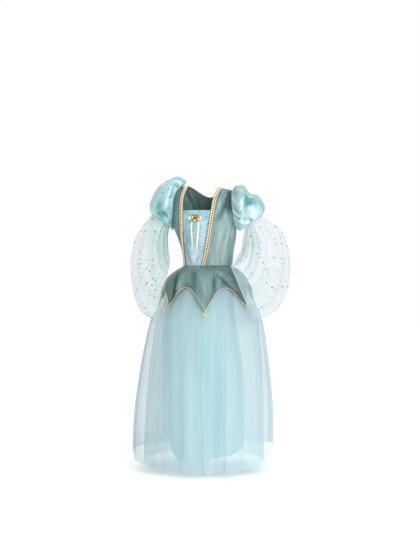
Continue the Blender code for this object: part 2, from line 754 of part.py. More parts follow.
def make_tails():
    for name, rows in TAILS.items():
        def surface(u, down):
            level = smooth(rows, "level", 1 - down)
            angle = smooth(rows, "angle", 1 - down)
            return torso(beside(angle, level, (u - 0.5) * TAIL_WIDTH), level)

        along = np.linspace(0, 1, TAIL_ROWS)
        wave = TAIL_WAVE * (1 - np.cos(along * TAIL_WAVES * 2 * math.pi)) / 2
        lift = (BROCADE + LAID_GAP + wave)[:, None, None]
        outer = lifted(surface, [0, 1], along, lift + TAIL_THICKNESS)
        inner = lifted(surface, [0, 1], along, lift)
        wall(name, outer, inner)


def make_dress():
    clear_scene()
    make_bodice()
    for side_name in SIDES:
        make_sleeve(f"puff_{side_name}", puff_surface(side_name), PUFF_COLUMNS, PUFF_ROWS, SATIN)
        make_sleeve(f"bell_{side_name}", bell_surface(side_name), BELL_COLUMNS, BELL_ROWS, ORGANZA)
    make_skirt()
    make_peplum()
    make_bow()
    make_tails()


make_dress()
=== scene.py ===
# %% [markdown]
# # A princess costume dress, worn and empty
# The dress is a braid-edged velour bodice with a brocade insert, puff and bell sleeves, a
# pointed peplum and two layers of tulle over a lining. Every cloth piece is a grid of points
# worked out from tables of the figure, because worn cloth follows the body closely and its
# folds follow simple waves. A cloth simulation would need a body inside and would move the hem.

# %% Load the fixed frame
import math
from collections import namedtuple

import bpy
import numpy as np
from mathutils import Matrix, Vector


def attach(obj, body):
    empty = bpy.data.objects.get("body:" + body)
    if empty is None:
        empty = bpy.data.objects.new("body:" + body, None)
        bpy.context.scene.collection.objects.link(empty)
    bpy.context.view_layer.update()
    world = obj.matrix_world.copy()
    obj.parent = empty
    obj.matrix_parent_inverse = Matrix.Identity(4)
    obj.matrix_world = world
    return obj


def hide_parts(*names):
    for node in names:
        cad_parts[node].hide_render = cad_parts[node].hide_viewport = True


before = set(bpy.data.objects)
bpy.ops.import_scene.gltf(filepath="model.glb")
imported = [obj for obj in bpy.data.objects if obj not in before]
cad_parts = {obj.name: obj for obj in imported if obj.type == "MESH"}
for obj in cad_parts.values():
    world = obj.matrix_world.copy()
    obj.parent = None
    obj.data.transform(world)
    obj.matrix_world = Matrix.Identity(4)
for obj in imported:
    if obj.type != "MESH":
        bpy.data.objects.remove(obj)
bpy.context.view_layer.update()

# %% [markdown]
# Colours are typed as sRGB hex, the way a picture shows them, and Blender's shaders need
# them linear. One helper turns a code into a colour and another adds a node, sets it up and
# links it, so a finish reads as a short list of what it is made of.

# %% Colours and nodes
def linear(code):
    channels = [int(code[i:i + 2], 16) / 255 for i in (0, 2, 4)]
    curve = [c / 12.92 if c <= 0.04045 else ((c + 0.055) / 1.055) ** 2.4 for c in channels]
    return (*curve, 1.0)


def add_node(tree, kind, settings, links):
    """Adds a node. Settings are its properties or inputs, and links go to its inputs."""
    node = tree.nodes.new(kind)
    for key, value in settings.items():
        if isinstance(key, str) and hasattr(node, key):
            setattr(node, key, value)
        else:
            node.inputs[key].default_value = value
    for key, source in links.items():
        tree.links.new(source, node.inputs[key])
    return node


def finish(name, colour, settings):
    """A new material with a Principled shader set to a colour and its other values."""
    material = bpy.data.materials.new(name)
    material.use_nodes = True
    tree = material.node_tree
    shader = tree.nodes["Principled BSDF"]
    shader.inputs["Base Color"].default_value = linear(colour)
    for key, value in settings.items():
        shader.inputs[key].default_value = value
    material.diffuse_color = linear(colour)
    return material, tree, shader


def set_ramp(node, stops):
    """Gives a colour ramp its stops, each a position and an sRGB code."""
    elements = node.color_ramp.elements
    while len(elements) < len(stops):
        elements.new(1.0)
    for element, (position, code) in zip(elements, stops):
        element.position = position
        element.color = linear(code)


def add_toned(tree, value):
    """A pattern's value with the tone attribute added to it: painted shade and highlight on velour, satin
    and brocade, and how densely sheer cloth lies.
    """
    tone = add_node(tree, "ShaderNodeAttribute", {"attribute_name": "tone"}, {})
    return add_node(tree, "ShaderNodeMath", {"operation": "ADD"}, {
        0: value, 1: tone.outputs["Fac"],
    }).outputs[0]


MM = 0.001
print("helpers ready")

# %% [markdown]
# ** Panne velour** is a knitted velvet with its pile pressed flat. The pile catches light at a
# grazing angle, which is what sheen does, and it shines softly along folds. It lies a little
# differently from place to place, which noise stretched down the cloth shows as soft patches
# and as brushed streaks about 8 mm wide. Each cloth also carries a number per point, its tone,
# which is painted shade and painted highlight: it paints the velour paler on a fold's ridge and
# deeper in its groove.

# %% Velour
def velour_finish(name, deep, dark, middle, light, pale):
    material, tree, shader = finish(name, middle, {
        "Roughness": 0.46, "Sheen Weight": 0.5, "Sheen Roughness": 0.32,
        "Sheen Tint": linear("dfeeed"), "Specular IOR Level": 0.55,
    })
    flat = add_node(tree, "ShaderNodeUVMap", {}, {})
    lie = add_node(tree, "ShaderNodeMapping", {"Scale": (1.0, 0.35, 1.0)}, {"Vector": flat.outputs[0]})
    patches = add_node(tree, "ShaderNodeTexNoise", {
        "Scale": 1 / (26 * MM), "Detail": 3.0, "Roughness": 0.6,
    }, {"Vector": lie.outputs[0]})
    # The tone added here is painted shade in fold grooves and painted highlight on fold ridges.
    shade = add_toned(tree, patches.outputs["Fac"])
    shades = add_node(tree, "ShaderNodeValToRGB", {}, {"Fac": shade})
    set_ramp(shades, [(0.05, deep), (0.30, dark), (0.50, middle), (0.72, light), (0.95, pale)])
    brushed = add_node(tree, "ShaderNodeMapping", {"Scale": (1.0, 0.12, 1.0)}, {"Vector": flat.outputs[0]})
    pile = add_node(tree, "ShaderNodeTexNoise", {"Scale": 1 / (8 * MM), "Detail": 4.0}, {
        "Vector": brushed.outputs[0],
    })
    bump = add_node(tree, "ShaderNodeBump", {"Strength": 0.6, "Distance": 1.0 * MM}, {
        "Height": pile.outputs["Fac"],
    })
    tree.links.new(shades.outputs["Color"], shader.inputs["Base Color"])
    tree.links.new(bump.outputs["Normal"], shader.inputs["Normal"])
    return material


velour = velour_finish("panne_velour_sage", "3b5350", "5c7a78", "6e8e8d", "88a3a1", "a0b4b2")
print(velour.name)

# %% [markdown]
# **Polyester satin** has long floats of thread on its face, so it shines in broad streaks and
# its folds turn from pale to deep. A low roughness and some anisotropy give the streaks, and
# slow noise gives the change of tone that crumpled satin has.

# %% Satin
def satin_finish(name, deep, dark, light, pale, roughness):
    material, tree, shader = finish(name, dark, {
        "Roughness": roughness, "Anisotropic": 0.35, "Sheen Weight": 0.2,
        "Sheen Tint": linear("eef8f8"), "Specular IOR Level": 0.6,
    })
    flat = add_node(tree, "ShaderNodeUVMap", {}, {})
    crumple = add_node(tree, "ShaderNodeTexNoise", {
        "Scale": 1 / (34 * MM), "Detail": 4.0, "Roughness": 0.62, "Distortion": 0.6,
    }, {"Vector": flat.outputs[0]})
    # The tone added here is painted shade in creases and painted highlight on ridges, and on the puffs
    # painted light and shade by side.
    depth = add_toned(tree, crumple.outputs["Fac"])
    tone = add_node(tree, "ShaderNodeValToRGB", {}, {"Fac": depth})
    set_ramp(tone, [(0.05, deep), (0.34, dark), (0.66, light), (0.90, pale)])
    bump = add_node(tree, "ShaderNodeBump", {"Strength": 0.5, "Distance": 1.6 * MM}, {
        "Height": crumple.outputs["Fac"],
    })
    tree.links.new(tone.outputs["Color"], shader.inputs["Base Color"])
    tree.links.new(bump.outputs["Normal"], shader.inputs["Normal"])
    return material


satin = satin_finish("polyester_satin_aqua", "5e9799", "9ac7cb", "bcdde1", "d3ebee", 0.30)
ribbon = satin_finish("satin_ribbon_ivory", "d8d2b6", "e9e4cd", "f4f1e2", "faf8ee", 0.40)
print(satin.name, ribbon.name)

# %% [markdown]
# ** Shot brocade** is woven from threads of two colours, aqua and lavender. Its figures are
# about 22 mm across. The two colours follow a distorted noise of that size, and a finer one
# gives the raised threads. The tone added to the noise is painted shade and highlight, so the
# cloth turns deeper aqua in its creases and paler lavender on its ridges.

# %% Brocade
brocade, tree, shader = finish("shot_brocade_aqua", "b8dbe2", {
    "Roughness": 0.42, "Sheen Weight": 0.25, "Sheen Tint": linear("f0f0fb"), "Specular IOR Level": 0.6,
})
flat = add_node(tree, "ShaderNodeUVMap", {}, {})
figures = add_node(tree, "ShaderNodeTexNoise", {
    "Scale": 1 / (22 * MM), "Detail": 3.0, "Distortion": 1.4,
}, {"Vector": flat.outputs[0]})
# The figure noise plus the tone: painted shade in creases and painted highlight on ridges and near the
# waist.
weave_and_painted_light = add_toned(tree, figures.outputs["Fac"])
threads = add_node(tree, "ShaderNodeValToRGB", {}, {"Fac": weave_and_painted_light})
set_ramp(threads, [(0.20, "7aacb6"), (0.40, "95c1ca"), (0.52, "a5cbd4"), (0.68, "bfd0de"), (0.92, "d9e6ea")])
relief = add_node(tree, "ShaderNodeBump", {"Strength": 0.5, "Distance": 0.8 * MM}, {
    "Height": figures.outputs["Fac"],
})
tree.links.new(threads.outputs["Color"], shader.inputs["Base Color"])
tree.links.new(relief.outputs["Normal"], shader.inputs["Normal"])
print(brocade.name)

# %% [markdown]
# **Nylon tulle** is a net of 1 mm holes, far finer than a picture point here, so it is drawn
# as a sheet that lets most light through. Gathered net is denser where its folds bunch, in
# long streaks from waist to hem: a noise stretched along the cloth varies how much it covers,
# and its tone adds to that where the gathers lie close. **Organza** is a woven sheer, smoother
# and clearer, pale lavender where one layer is seen and aqua where several are.

# %% Sheer cloths
def sheer_finish(name, thin, thick, cover, settings, streak_mm, stretch):
    """A see-through cloth that covers from cover[0] to cover[1] of what is behind it."""
    material, tree, shader = finish(name, thin, settings)
    flat = add_node(tree, "ShaderNodeUVMap", {}, {})
    along = add_node(tree, "ShaderNodeMapping", {"Scale": (1.0, stretch, 1.0)}, {"Vector": flat.outputs[0]})
    streaks = add_node(tree, "ShaderNodeTexNoise", {
        "Scale": 1 / (streak_mm * MM), "Detail": 0.5, "Roughness": 0.4,
    }, {"Vector": along.outputs[0]})
    gathered = add_toned(tree, streaks.outputs["Fac"])
    dense = add_node(tree, "ShaderNodeMapRange", {
        "From Min": 0.20, "From Max": 0.90, "To Min": cover[0], "To Max": cover[1],
    }, {"Value": gathered})
    tints = add_node(tree, "ShaderNodeValToRGB", {}, {"Fac": gathered})
    set_ramp(tints, [(0.40, thin), (0.80, thick)])
    tree.links.new(tints.outputs["Color"], shader.inputs["Base Color"])
    tree.links.new(dense.outputs["Result"], shader.inputs["Alpha"])
    return material


tulle_soft = {"Roughness": 0.85, "Sheen Weight": 0.05, "Specular IOR Level": 0.1}
outer_net = sheer_finish("nylon_tulle_outer", "d0dfe6", "bacfd6", (0.32, 0.58), tulle_soft, 120, 0.03)
inner_net = sheer_finish("nylon_tulle_inner", "b8e4e8", "a0d6db", (0.24, 0.56), tulle_soft, 110, 0.03)
organza = sheer_finish("glitter_organza", "c5d3df", "9fc8c5", (0.12, 0.46), {
    "Roughness": 0.42, "Sheen Weight": 0.3, "Specular IOR Level": 0.5,
}, 60, 0.4)
print(outer_net.name, inner_net.name, organza.name)

# %% [markdown]
# The **lining** is a plain polyester taffeta, opaque and a clearer aqua than the net over it.
# **Gold-coloured trim** is lacquered, so it is a metal with a soft shine. **Pearls** are plastic
# with a clear coat. **Sequins** are thin glossy foil. The **braid** is woven from a dark and a
# pale gold thread, drawn as fine slanted stripes.

# %% Lining and trims
lining_cloth, tree, shader = finish("polyester_lining_aqua", "b0e0e5", {
    "Roughness": 0.6, "Sheen Weight": 0.15, "Specular IOR Level": 0.35,
})
flat = add_node(tree, "ShaderNodeUVMap", {}, {})
stretched = add_node(tree, "ShaderNodeMapping", {"Scale": (1.0, 0.05, 1.0)}, {"Vector": flat.outputs[0]})
shading = add_node(tree, "ShaderNodeTexNoise", {"Scale": 1 / (48 * MM), "Detail": 1.0}, {
    "Vector": stretched.outputs[0],
})
depth_tone = add_node(tree, "ShaderNodeValToRGB", {}, {"Fac": shading.outputs["Fac"]})
set_ramp(depth_tone, [(0.36, "86cdd4"), (0.64, "ccf3f2")])
tree.links.new(depth_tone.outputs["Color"], shader.inputs["Base Color"])

gilt, tree, shader = finish("lacquered_gilt", "dfc77a", {
    "Metallic": 0.6, "Roughness": 0.32, "Coat Weight": 0.3, "Coat Roughness": 0.2,
})
rub = add_node(tree, "ShaderNodeTexNoise", {"Scale": 1 / (5 * MM), "Detail": 3.0}, {})
worn = add_node(tree, "ShaderNodeMapRange", {"To Min": 0.24, "To Max": 0.42}, {"Value": rub.outputs["Fac"]})
tree.links.new(worn.outputs["Result"], shader.inputs["Roughness"])

pearl = finish("plastic_pearl", "fff8e6", {
    "Roughness": 0.22, "Coat Weight": 0.6, "Coat Roughness": 0.08, "Sheen Weight": 0.2,
})[0]
old_gilt = finish("aged_gilt", "a98f49", {"Metallic": 0.7, "Roughness": 0.36})[0]
garnet = finish("brown_glass_stone", "5a4423", {"Roughness": 0.12, "Coat Weight": 0.5})[0]
dark_sequin = finish("foil_sequin_green", "2f4f49", {"Metallic": 0.6, "Roughness": 0.28})[0]
pale_sequin = finish("foil_sequin_silver", "b9d3d4", {"Metallic": 0.5, "Roughness": 0.30})[0]
gold_bead = finish("gilt_glass_bead", "edd28c", {"Metallic": 0.55, "Roughness": 0.25, "Coat Weight": 0.4})[0]

woven_braid, tree, shader = finish("woven_gold_braid", "e5d6ae", {
    "Roughness": 0.5, "Metallic": 0.1, "Sheen Weight": 0.2,
})
flat = add_node(tree, "ShaderNodeUVMap", {}, {})
slant = add_node(tree, "ShaderNodeMapping", {"Rotation": (0, 0, math.radians(38))}, {
    "Vector": flat.outputs[0],
})
plies = add_node(tree, "ShaderNodeTexWave", {"Scale": 1 / (2 * math.pi * 2.4 * MM / 10)}, {
    "Vector": slant.outputs[0],
})
golds = add_node(tree, "ShaderNodeValToRGB", {}, {"Fac": plies.outputs["Fac"]})
set_ramp(golds, [(0.0, "87652e"), (1.0, "b38e4c")])
raised = add_node(tree, "ShaderNodeBump", {"Strength": 0.6, "Distance": 0.5 * MM}, {
    "Height": plies.outputs["Fac"],
})
tree.links.new(golds.outputs["Color"], shader.inputs["Base Color"])
tree.links.new(raised.outputs["Normal"], shader.inputs["Normal"])

gold_cord, tree, shader = finish("twisted_gold_cord", "cdbd8c", {"Roughness": 0.42, "Metallic": 0.35})
fibres = add_node(tree, "ShaderNodeTexNoise", {"Scale": 1 / (1.2 * MM), "Detail": 2.0}, {})
shine = add_node(tree, "ShaderNodeValToRGB", {}, {"Fac": fibres.outputs["Fac"]})
set_ramp(shine, [(0.2, "bfa974"), (0.8, "e6dcb6")])
tree.links.new(shine.outputs["Color"], shader.inputs["Base Color"])
print(len(bpy.data.materials), "materials")

# %% [markdown]
# A piece of cloth starts as a grid of points: columns run across it and rows run up it. Its
# UV map holds real distances in metres, so every pattern above keeps its size in
# millimetres. Velour, brocade, braid and ribbon get a real thickness from a Solidify modifier.
# The thinner cloths stay a single surface, and a second one would hide what is behind the sheer
# ones.

# %% Cloth from a grid
def distances(points):
    steps = np.linalg.norm(np.diff(points, axis=0), axis=-1)
    return np.concatenate([[0], np.cumsum(steps)])


def read_path(path, along, stops):
    """The points of a path at some distances along it."""
    return np.stack([np.interp(stops, along, path[:, axis]) for axis in range(3)], axis=1)


def unit(vectors):
    return vectors / np.linalg.norm(vectors, axis=-1, keepdims=True)


def face_corners(grid):
    """The values at the four corners of each face of a grid."""
    return np.stack([grid[:-1, :-1], grid[:-1, 1:], grid[1:, 1:], grid[1:, :-1]], axis=2)


def grid_faces(rows, columns, closed):
    index = np.arange(rows * columns).reshape(rows, columns)
    if closed:
        index = np.hstack([index, index[:, :1]])
    return face_corners(index).reshape(-1, 4).tolist()


def new_object(name, points, faces):
    """A smooth mesh in the scene."""
    mesh = bpy.data.meshes.new(name)
    mesh.from_pydata(points.reshape(-1, 3).tolist(), [], faces)
    mesh.shade_smooth()
    obj = bpy.data.objects.new(name, mesh)
    bpy.context.scene.collection.objects.link(obj)
    return obj


def show(obj, material, replaces=()):
    obj.data.materials.clear()
    obj.data.materials.append(material)
    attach(obj, "root")
    if replaces:
        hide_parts(*replaces)
    return obj


def cloth(name, points, material, replaces=(), closed=False, thickness=0.0, tone=0.0):
    """A cloth piece from a grid of points, closed round its columns or open."""
    rows, columns = points.shape[:2]
    across = points
    if closed:
        across = np.concatenate([points, points[:, :1]], axis=1)
    faces = grid_faces(rows, columns, closed)
    obj = new_object(f"{name}_cloth", points, faces)
    flat = np.stack(np.meshgrid(distances(across[rows // 2]), distances(points[:, columns // 2])), axis=-1)
    obj.data.uv_layers.new(name="cut").data.foreach_set("uv", face_corners(flat).reshape(-1))
    tones = np.broadcast_to(tone, (rows, columns)).astype(np.float32)
    obj.data.attributes.new("tone", "FLOAT", "POINT").data.foreach_set("value", tones.reshape(-1))
    if thickness:
        layer = obj.modifiers.new("thickness", "SOLIDIFY")
        layer.thickness = thickness
        layer.offset = -1
    show(obj, material, replaces)
    obj["cut_width"] = float(max(distances(row)[-1] for row in across))
    obj["cut_length"] = float(max(distances(points[:, c])[-1] for c in range(columns)))
    print(f"{name}: {len(faces)} faces, {obj['cut_width']:.3f} x {obj['cut_length']:.3f} m")
    return obj


# %% [markdown]
# The **figure** under the bodice is a table of levels, waist to shoulder. Between its rows a
# smooth curve is read, and above the underarm the section leans in to the shoulder seam.
# Angles run round the body: 0 is straight ahead and 90 is to the right.

# %% The figure
WAIST = -0.2925
UNDERARM = -0.150
SHOULDER_HEIGHT = 0.005
SHOULDER_TILT = -0.055
SHOULDER_DROP = 0.9
VELOUR = 1.8 * MM
BROCADE = 1.5 * MM
LAID_GAP = 0.6 * MM
SEAM_GAP = 0.3 * MM
SEAM_ANGLE = 0.08
STEP = 1e-4
Torso = namedtuple("Torso", "height centre_x half_width half_depth turn seam_left seam_right")
TORSO = [
    Torso(-0.2925, 0.0105, 0.0895, 0.078, -38.0, -65.0, -14.2),
    Torso(-0.2360, 0.0105, 0.0940, 0.080, -35.0, -65.0, -6.4),
    Torso(-0.1840, 0.0050, 0.1070, 0.086, -25.0, -52.2, 1.6),
    Torso(-0.1500, 0.0000, 0.1155, 0.089, -19.0, -44.0, 6.3),
    Torso(-0.0940, -0.0010, 0.1260, 0.089, -14.0, -39.6, 10.3),
    Torso(-0.0340, -0.0010, 0.1220, 0.089, -9.0, -38.0, 17.3),
    Torso(0.0000, 0.0000, 0.1060, 0.089, 0.0, -35.5, 28.2),
]
Armhole = namedtuple("Armhole", "level front back")
ARMHOLE = [
    Armhole(1.00, 90.0, 90.0),
    Armhole(1.03, 84.0, 85.0),
    Armhole(1.10, 76.0, 78.0),
    Armhole(1.25, 67.0, 70.0),
    Armhole(1.50, 62.0, 66.0),
    Armhole(1.75, 64.0, 67.0),
    Armhole(2.00, 74.0, 74.0),
]
INSERT_TOP = 1.26
BACK_NECK_ANGLE = 38.0
BACK_NECK_DROP = 0.44


def smooth(table, column, at):
    """A smooth curve through one column of a table, read at places in its first column."""
    places = np.array([row[0] for row in table])
    values = np.array([getattr(row, column) for row in table])
    slopes = np.gradient(values, places)
    i = np.clip(np.searchsorted(places, at) - 1, 0, len(places) - 2)
    span = places[i + 1] - places[i]
    t = (at - places[i]) / span
    start = (1 + 2 * t) * (1 - t) ** 2 * values[i] + t * (1 - t) ** 2 * span * slopes[i]
    end = t * t * (3 - 2 * t) * values[i + 1] - t * t * (1 - t) * span * slopes[i + 1]
    return start + end


def ramp(value, start, end):
    t = np.clip((value - start) / (end - start), 0, 1)
    return t * t * (3 - 2 * t)


def lifted(surface, across, up, lift, level=False):
    """A grid of points moved out from a surface along its normal, or horizontally."""
    u, v = np.meshgrid(across, up)
    along = surface(u + STEP, v) - surface(u - STEP, v)
    rise = surface(u, v + STEP) - surface(u, v - STEP)
    normal = np.cross(along, rise)
    if level:
        normal[..., 2] = 0
    return surface(u, v) + unit(normal) * np.asarray(lift)[..., None]


def shoulder_turn(level):
    return np.maximum(level - 1, 0) * math.pi / 2


def torso_value(column, level):
    below = WAIST + (UNDERARM - WAIST) * level
    above = UNDERARM * (1 - np.sin(shoulder_turn(level)))
    return smooth(TORSO, column, np.where(level < 1, below, above))


def torso(angle, level):
    sine = np.sin(np.radians(angle))
    cosine = np.cos(np.radians(angle))
    turn = shoulder_turn(level)
    x = torso_value("centre_x", level) + torso_value("half_width", level) * sine
    y = -torso_value("half_depth", level) * cosine * np.cos(turn)
    shoulder = SHOULDER_HEIGHT + SHOULDER_TILT * x - SHOULDER_DROP * x * x
    above = UNDERARM + (shoulder - UNDERARM) * np.sin(turn)
    below = WAIST + (UNDERARM - WAIST) * level
    return np.stack([x, y, np.where(level < 1, below, above)], axis=-1)


def beside(angle, level, distance):
    """The angle that lies a distance along the figure from another."""
    wide = torso_value("half_width", level) * np.cos(np.radians(angle))
    deep = torso_value("half_depth", level) * np.cos(shoulder_turn(level)) * np.sin(np.radians(angle))
    return angle + np.degrees(distance / np.hypot(wide, deep))


def front_edge(side, level):
    reach = np.where(level < 1, 90.0, smooth(ARMHOLE, "front", np.maximum(level, 1)))
    return side * reach + torso_value("turn", level)


def back_edge(side, level):
    reach = np.where(level < 1, 90.0, smooth(ARMHOLE, "back", np.maximum(level, 1)))
    return side * (180 - reach) + torso_value("turn", level)


def seam_left(level):
    return torso_value("seam_left", level)


def seam_right(level):
    return torso_value("seam_right", level)


def centre_back(level):
    return 180 + torso_value("turn", level)


def panel(start, end, top=None):
    """A surface between two edges, 0 to 1 across and by level upward."""
    def surface(u, v):
        level = v
        if top is not None:
            level = np.where(v > 1, 1 + (v - 1) * (top(u) - 1), v)
        first = start(level)
        return torso(first + (end(level) - first) * u, level)
    return surface


print("waist", np.round(torso(np.array([-90.0, 0.0, 90.0]), np.array([0.0, 0.0, 0.0])), 3).tolist())

# %% [markdown]
# The **bodice** is two fronts and two backs, cut to the figure. Worn cloth pulls: a deep fold
# runs from the shoulder to the bust on the right front, and soft upright folds stand where the
# waist is slack. A fold is a ridge, or with a negative depth a groove, along a line across the
# panel, given by its two ends, so a short table says where each one is. Folds fade out towards
# the seams, and before the braid, which lies flat. Their height also sets the painted shade and
# highlight of the velour: paler on ridges, deeper in grooves, and darkest in the wide groove at
# the top of the right front, which stands for the shadow under the puff.

# %% Bodice panels
Fold = namedtuple("Fold", "u0 v0 u1 v1 depth width")


def ridges(folds, u, v):
    """The height of a set of ridges, each along a line from (u0, v0) to (u1, v1)."""
    height = np.zeros(np.broadcast(u, v).shape)
    for fold in folds:
        du = fold.u1 - fold.u0
        dv = fold.v1 - fold.v0
        length = np.hypot(du, dv)
        along = ((u - fold.u0) * du + (v - fold.v0) * dv) / length ** 2
        off = ((u - fold.u0) * dv - (v - fold.v0) * du) / length
        ends = ramp(along, -0.15, 0.25) * (1 - ramp(along, 0.75, 1.15))
        height = height + fold.depth * MM * ends * np.exp(-(off / fold.width) ** 2)
    return height


# The wide groove from (0.90, 1.90) carries the deepest painted shade, the shadow under the puff, and the
# broad low ridge down the middle paints the lower right front paler, a painted highlight.
FRONT_RIGHT_FOLDS = [
    Fold(0.50, 1.30, 0.55, -0.50, 4.5, 0.600), Fold(0.90, 1.90, 0.84, 1.24, -12.0, 0.200),
    Fold(0.84, 1.48, 0.14, 1.04, -7.0, 0.060), Fold(0.66, 1.64, 0.18, 1.26, 4.5, 0.045),
    Fold(0.22, 1.80, 0.06, 1.28, -4.5, 0.100),
    Fold(1.02, 1.60, 1.00, 1.15, -4.0, 0.070), Fold(0.62, 1.08, 0.80, 0.08, 2.4, 0.045),
    Fold(0.78, 1.10, 0.93, 0.22, -3.0, 0.035), Fold(0.90, 1.00, 0.98, 0.45, 2.2, 0.030),
    Fold(0.36, 0.85, 0.50, 0.00, 1.6, 0.050), Fold(0.48, 0.95, 0.64, 0.00, -1.8, 0.035),
    Fold(0.20, 0.60, 0.24, -0.10, -1.4, 0.040),
]
FRONT_LEFT_FOLDS = [
    Fold(0.12, 1.85, 0.20, 1.10, 2.2, 0.10), Fold(0.85, 1.75, 0.88, 0.40, -2.4, 0.12),
    Fold(0.50, 1.70, 0.62, 1.00, 1.2, 0.06), Fold(0.40, 0.95, 0.46, 0.05, -1.8, 0.07),
    Fold(0.62, 0.90, 0.66, 0.05, 1.4, 0.06),
]
BACK_FOLDS = [
    Fold(0.25, 1.00, 0.28, 0.02, 2.6, 0.05), Fold(0.36, 0.95, 0.38, 0.02, -2.0, 0.04),
    Fold(0.48, 0.90, 0.48, 0.02, 2.2, 0.05), Fold(0.30, 1.70, 0.55, 1.15, 2.5, 0.06),
    Fold(0.42, 1.72, 0.64, 1.20, -2.0, 0.05),
]
# Painted shade and highlight per mm of fold height.
FOLD_PAINTED_LIGHT_PER_MM = 0.055
SEWN_SHARE = 0.08
UNDER_BRAID = 0.09
FREE_OF_BRAID = 0.24
PANEL_TOP = 1.997


def back_neckline(u):
    tip = 180 - ARMHOLE[-1].back
    neck = (180 - BACK_NECK_ANGLE - tip) / (180 - tip)
    along = np.clip((u - neck) / (1 - neck), 0, 1)
    return 2 - BACK_NECK_DROP * np.sin(along * math.pi / 2)


PANELS = {
    "bodice_front_left": (panel(
        lambda level: front_edge(-1, level) + SEAM_ANGLE,
        lambda level: seam_left(level) - SEAM_ANGLE), FRONT_LEFT_FOLDS, False),
    "bodice_front_right": (panel(
        lambda level: seam_right(level) + SEAM_ANGLE,
        lambda level: front_edge(1, level) - SEAM_ANGLE), FRONT_RIGHT_FOLDS, False),
    "bodice_back_right": (panel(
        lambda level: back_edge(1, level) + SEAM_ANGLE,
        lambda level: centre_back(level) - SEAM_ANGLE, back_neckline), BACK_FOLDS, False),
    "bodice_back_left": (panel(
        lambda level: centre_back(level) + SEAM_ANGLE,
        lambda level: 360 + back_edge(-1, level) - SEAM_ANGLE,
        lambda u: back_neckline(1 - u)), BACK_FOLDS, True),
}
pieces = {}
for name, (surface, folds, mirrored) in PANELS.items():
    u = np.linspace(0, 1, 57)
    v = np.linspace(0, PANEL_TOP, 97)
    grid_u, grid_v = np.meshgrid(1 - u if mirrored else u, v)
    edges = ramp(grid_u, UNDER_BRAID, FREE_OF_BRAID) * ramp(1 - grid_u, 0, SEWN_SHARE)
    height = ridges(folds, grid_u, grid_v)
    pieces[name] = cloth(name, lifted(surface, u, v, VELOUR + height * edges), velour,
                         [name], thickness=VELOUR - 0.2 * MM, tone=height / MM * FOLD_PAINTED_LIGHT_PER_MM)

# %% [markdown]
# The **insert** is one brocade panel set between the fronts, with a straight top. It creases
# towards its narrow end, so a few shallow ridges fan down to the waist. Under the bow it lies
# flat. Its creases are painted darker and its ridges paler, and it is painted paler near the
# waist, a painted highlight.

# %% Insert
INSERT_FOLDS = [
    Fold(0.12, 1.10, 0.22, 0.55, -1.2, 0.07), Fold(0.78, 1.15, 0.84, 0.45, 1.4, 0.09),
    Fold(0.10, 0.50, 0.48, -0.05, -1.5, 0.06), Fold(0.92, 0.42, 0.60, -0.05, -1.2, 0.05),
    Fold(0.52, 0.62, 0.54, 0.02, 2.4, 0.16), Fold(0.50, 1.28, 0.62, 0.60, 0.8, 0.06),
    Fold(0.10, 0.25, 0.22, 0.00, 1.2, 0.08),
]
BROCADE_PAINTED_LIGHT_PER_MM = 0.14
BROCADE_TONE = -0.12
WAIST_PAINTED_HIGHLIGHT = 0.20
BOW_FOOT = 0.45
BOW_FULL = 0.55
insert_surface = panel(
    lambda level: seam_left(level) + SEAM_ANGLE, lambda level: seam_right(level) - SEAM_ANGLE)
u = np.linspace(0, 1, 49)
v = np.linspace(0, INSERT_TOP, 73)
grid_u, grid_v = np.meshgrid(u, v)
under_bow = 1 - ramp(grid_v, BOW_FOOT, BOW_FULL) * (1 - np.abs(2 * grid_u - 0.9) ** 3)
creases = ridges(INSERT_FOLDS, grid_u, grid_v)
height = creases * ramp(grid_u, 0, 0.1) * ramp(1 - grid_u, 0, 0.1) * np.clip(under_bow, 0.1, 1)
# Painted shade in the creases, painted highlight on the ridges and near the waist, and an even offset.
tone = creases / MM * BROCADE_PAINTED_LIGHT_PER_MM + WAIST_PAINTED_HIGHLIGHT * (1 - ramp(grid_v, 0.1, 0.6)) + BROCADE_TONE
pieces["insert"] = cloth("insert", lifted(insert_surface, u, v, BROCADE + height), brocade,
                         ["insert"], thickness=BROCADE - 0.2 * MM, tone=tone)

# %% [markdown]
# The **braid** along each front is a woven band 14 mm wide with a row of pearls towards the
# insert, small gilt beads between them, and a close row of seed pearls on its other edge.
# At this size each bead shows as one bright point, so they are real small spheres. All the
# beads of a row are one mesh: a sphere's points are copied to each place along the band.

# %% Braid and beads
def sphere_points(rings, sides):
    """A low sphere of radius 1 and its faces."""
    points = [(0.0, 0.0, 1.0)]
    for ring in range(1, rings):
        tilt = math.pi * ring / rings
        for side in range(sides):
            turn = 2 * math.pi * side / sides
            points.append((math.sin(tilt) * math.cos(turn), math.sin(tilt) * math.sin(turn), math.cos(tilt)))
    points.append((0.0, 0.0, -1.0))
    last = len(points) - 1
    faces = []
    for side in range(sides):
        after = (side + 1) % sides
        faces.append((0, 1 + side, 1 + after))
        for ring in range(rings - 2):
            low = 1 + ring * sides
            faces.append((low + side, low + sides + side, low + sides + after, low + after))
        low = 1 + (rings - 2) * sides
        faces.append((low + side, last, low + after))
    return np.array(points), faces


def many(name, shape, places, material, replaces=()):
    """Copies of one small shape. Each place is an origin and three axis vectors."""
    points, faces = shape
    all_points = []
    all_faces = []
    for number, (origin, x, y, z) in enumerate(places):
        all_points.append(origin + points[:, :1] * x + points[:, 1:2] * y + points[:, 2:] * z)
        start = number * len(points)
        all_faces += [tuple(start + corner for corner in face) for face in faces]
    print(f"{name}: {len(places)} copies, {len(all_faces)} faces")
    return show(new_object(name, np.concatenate(all_points), all_faces), material, replaces)


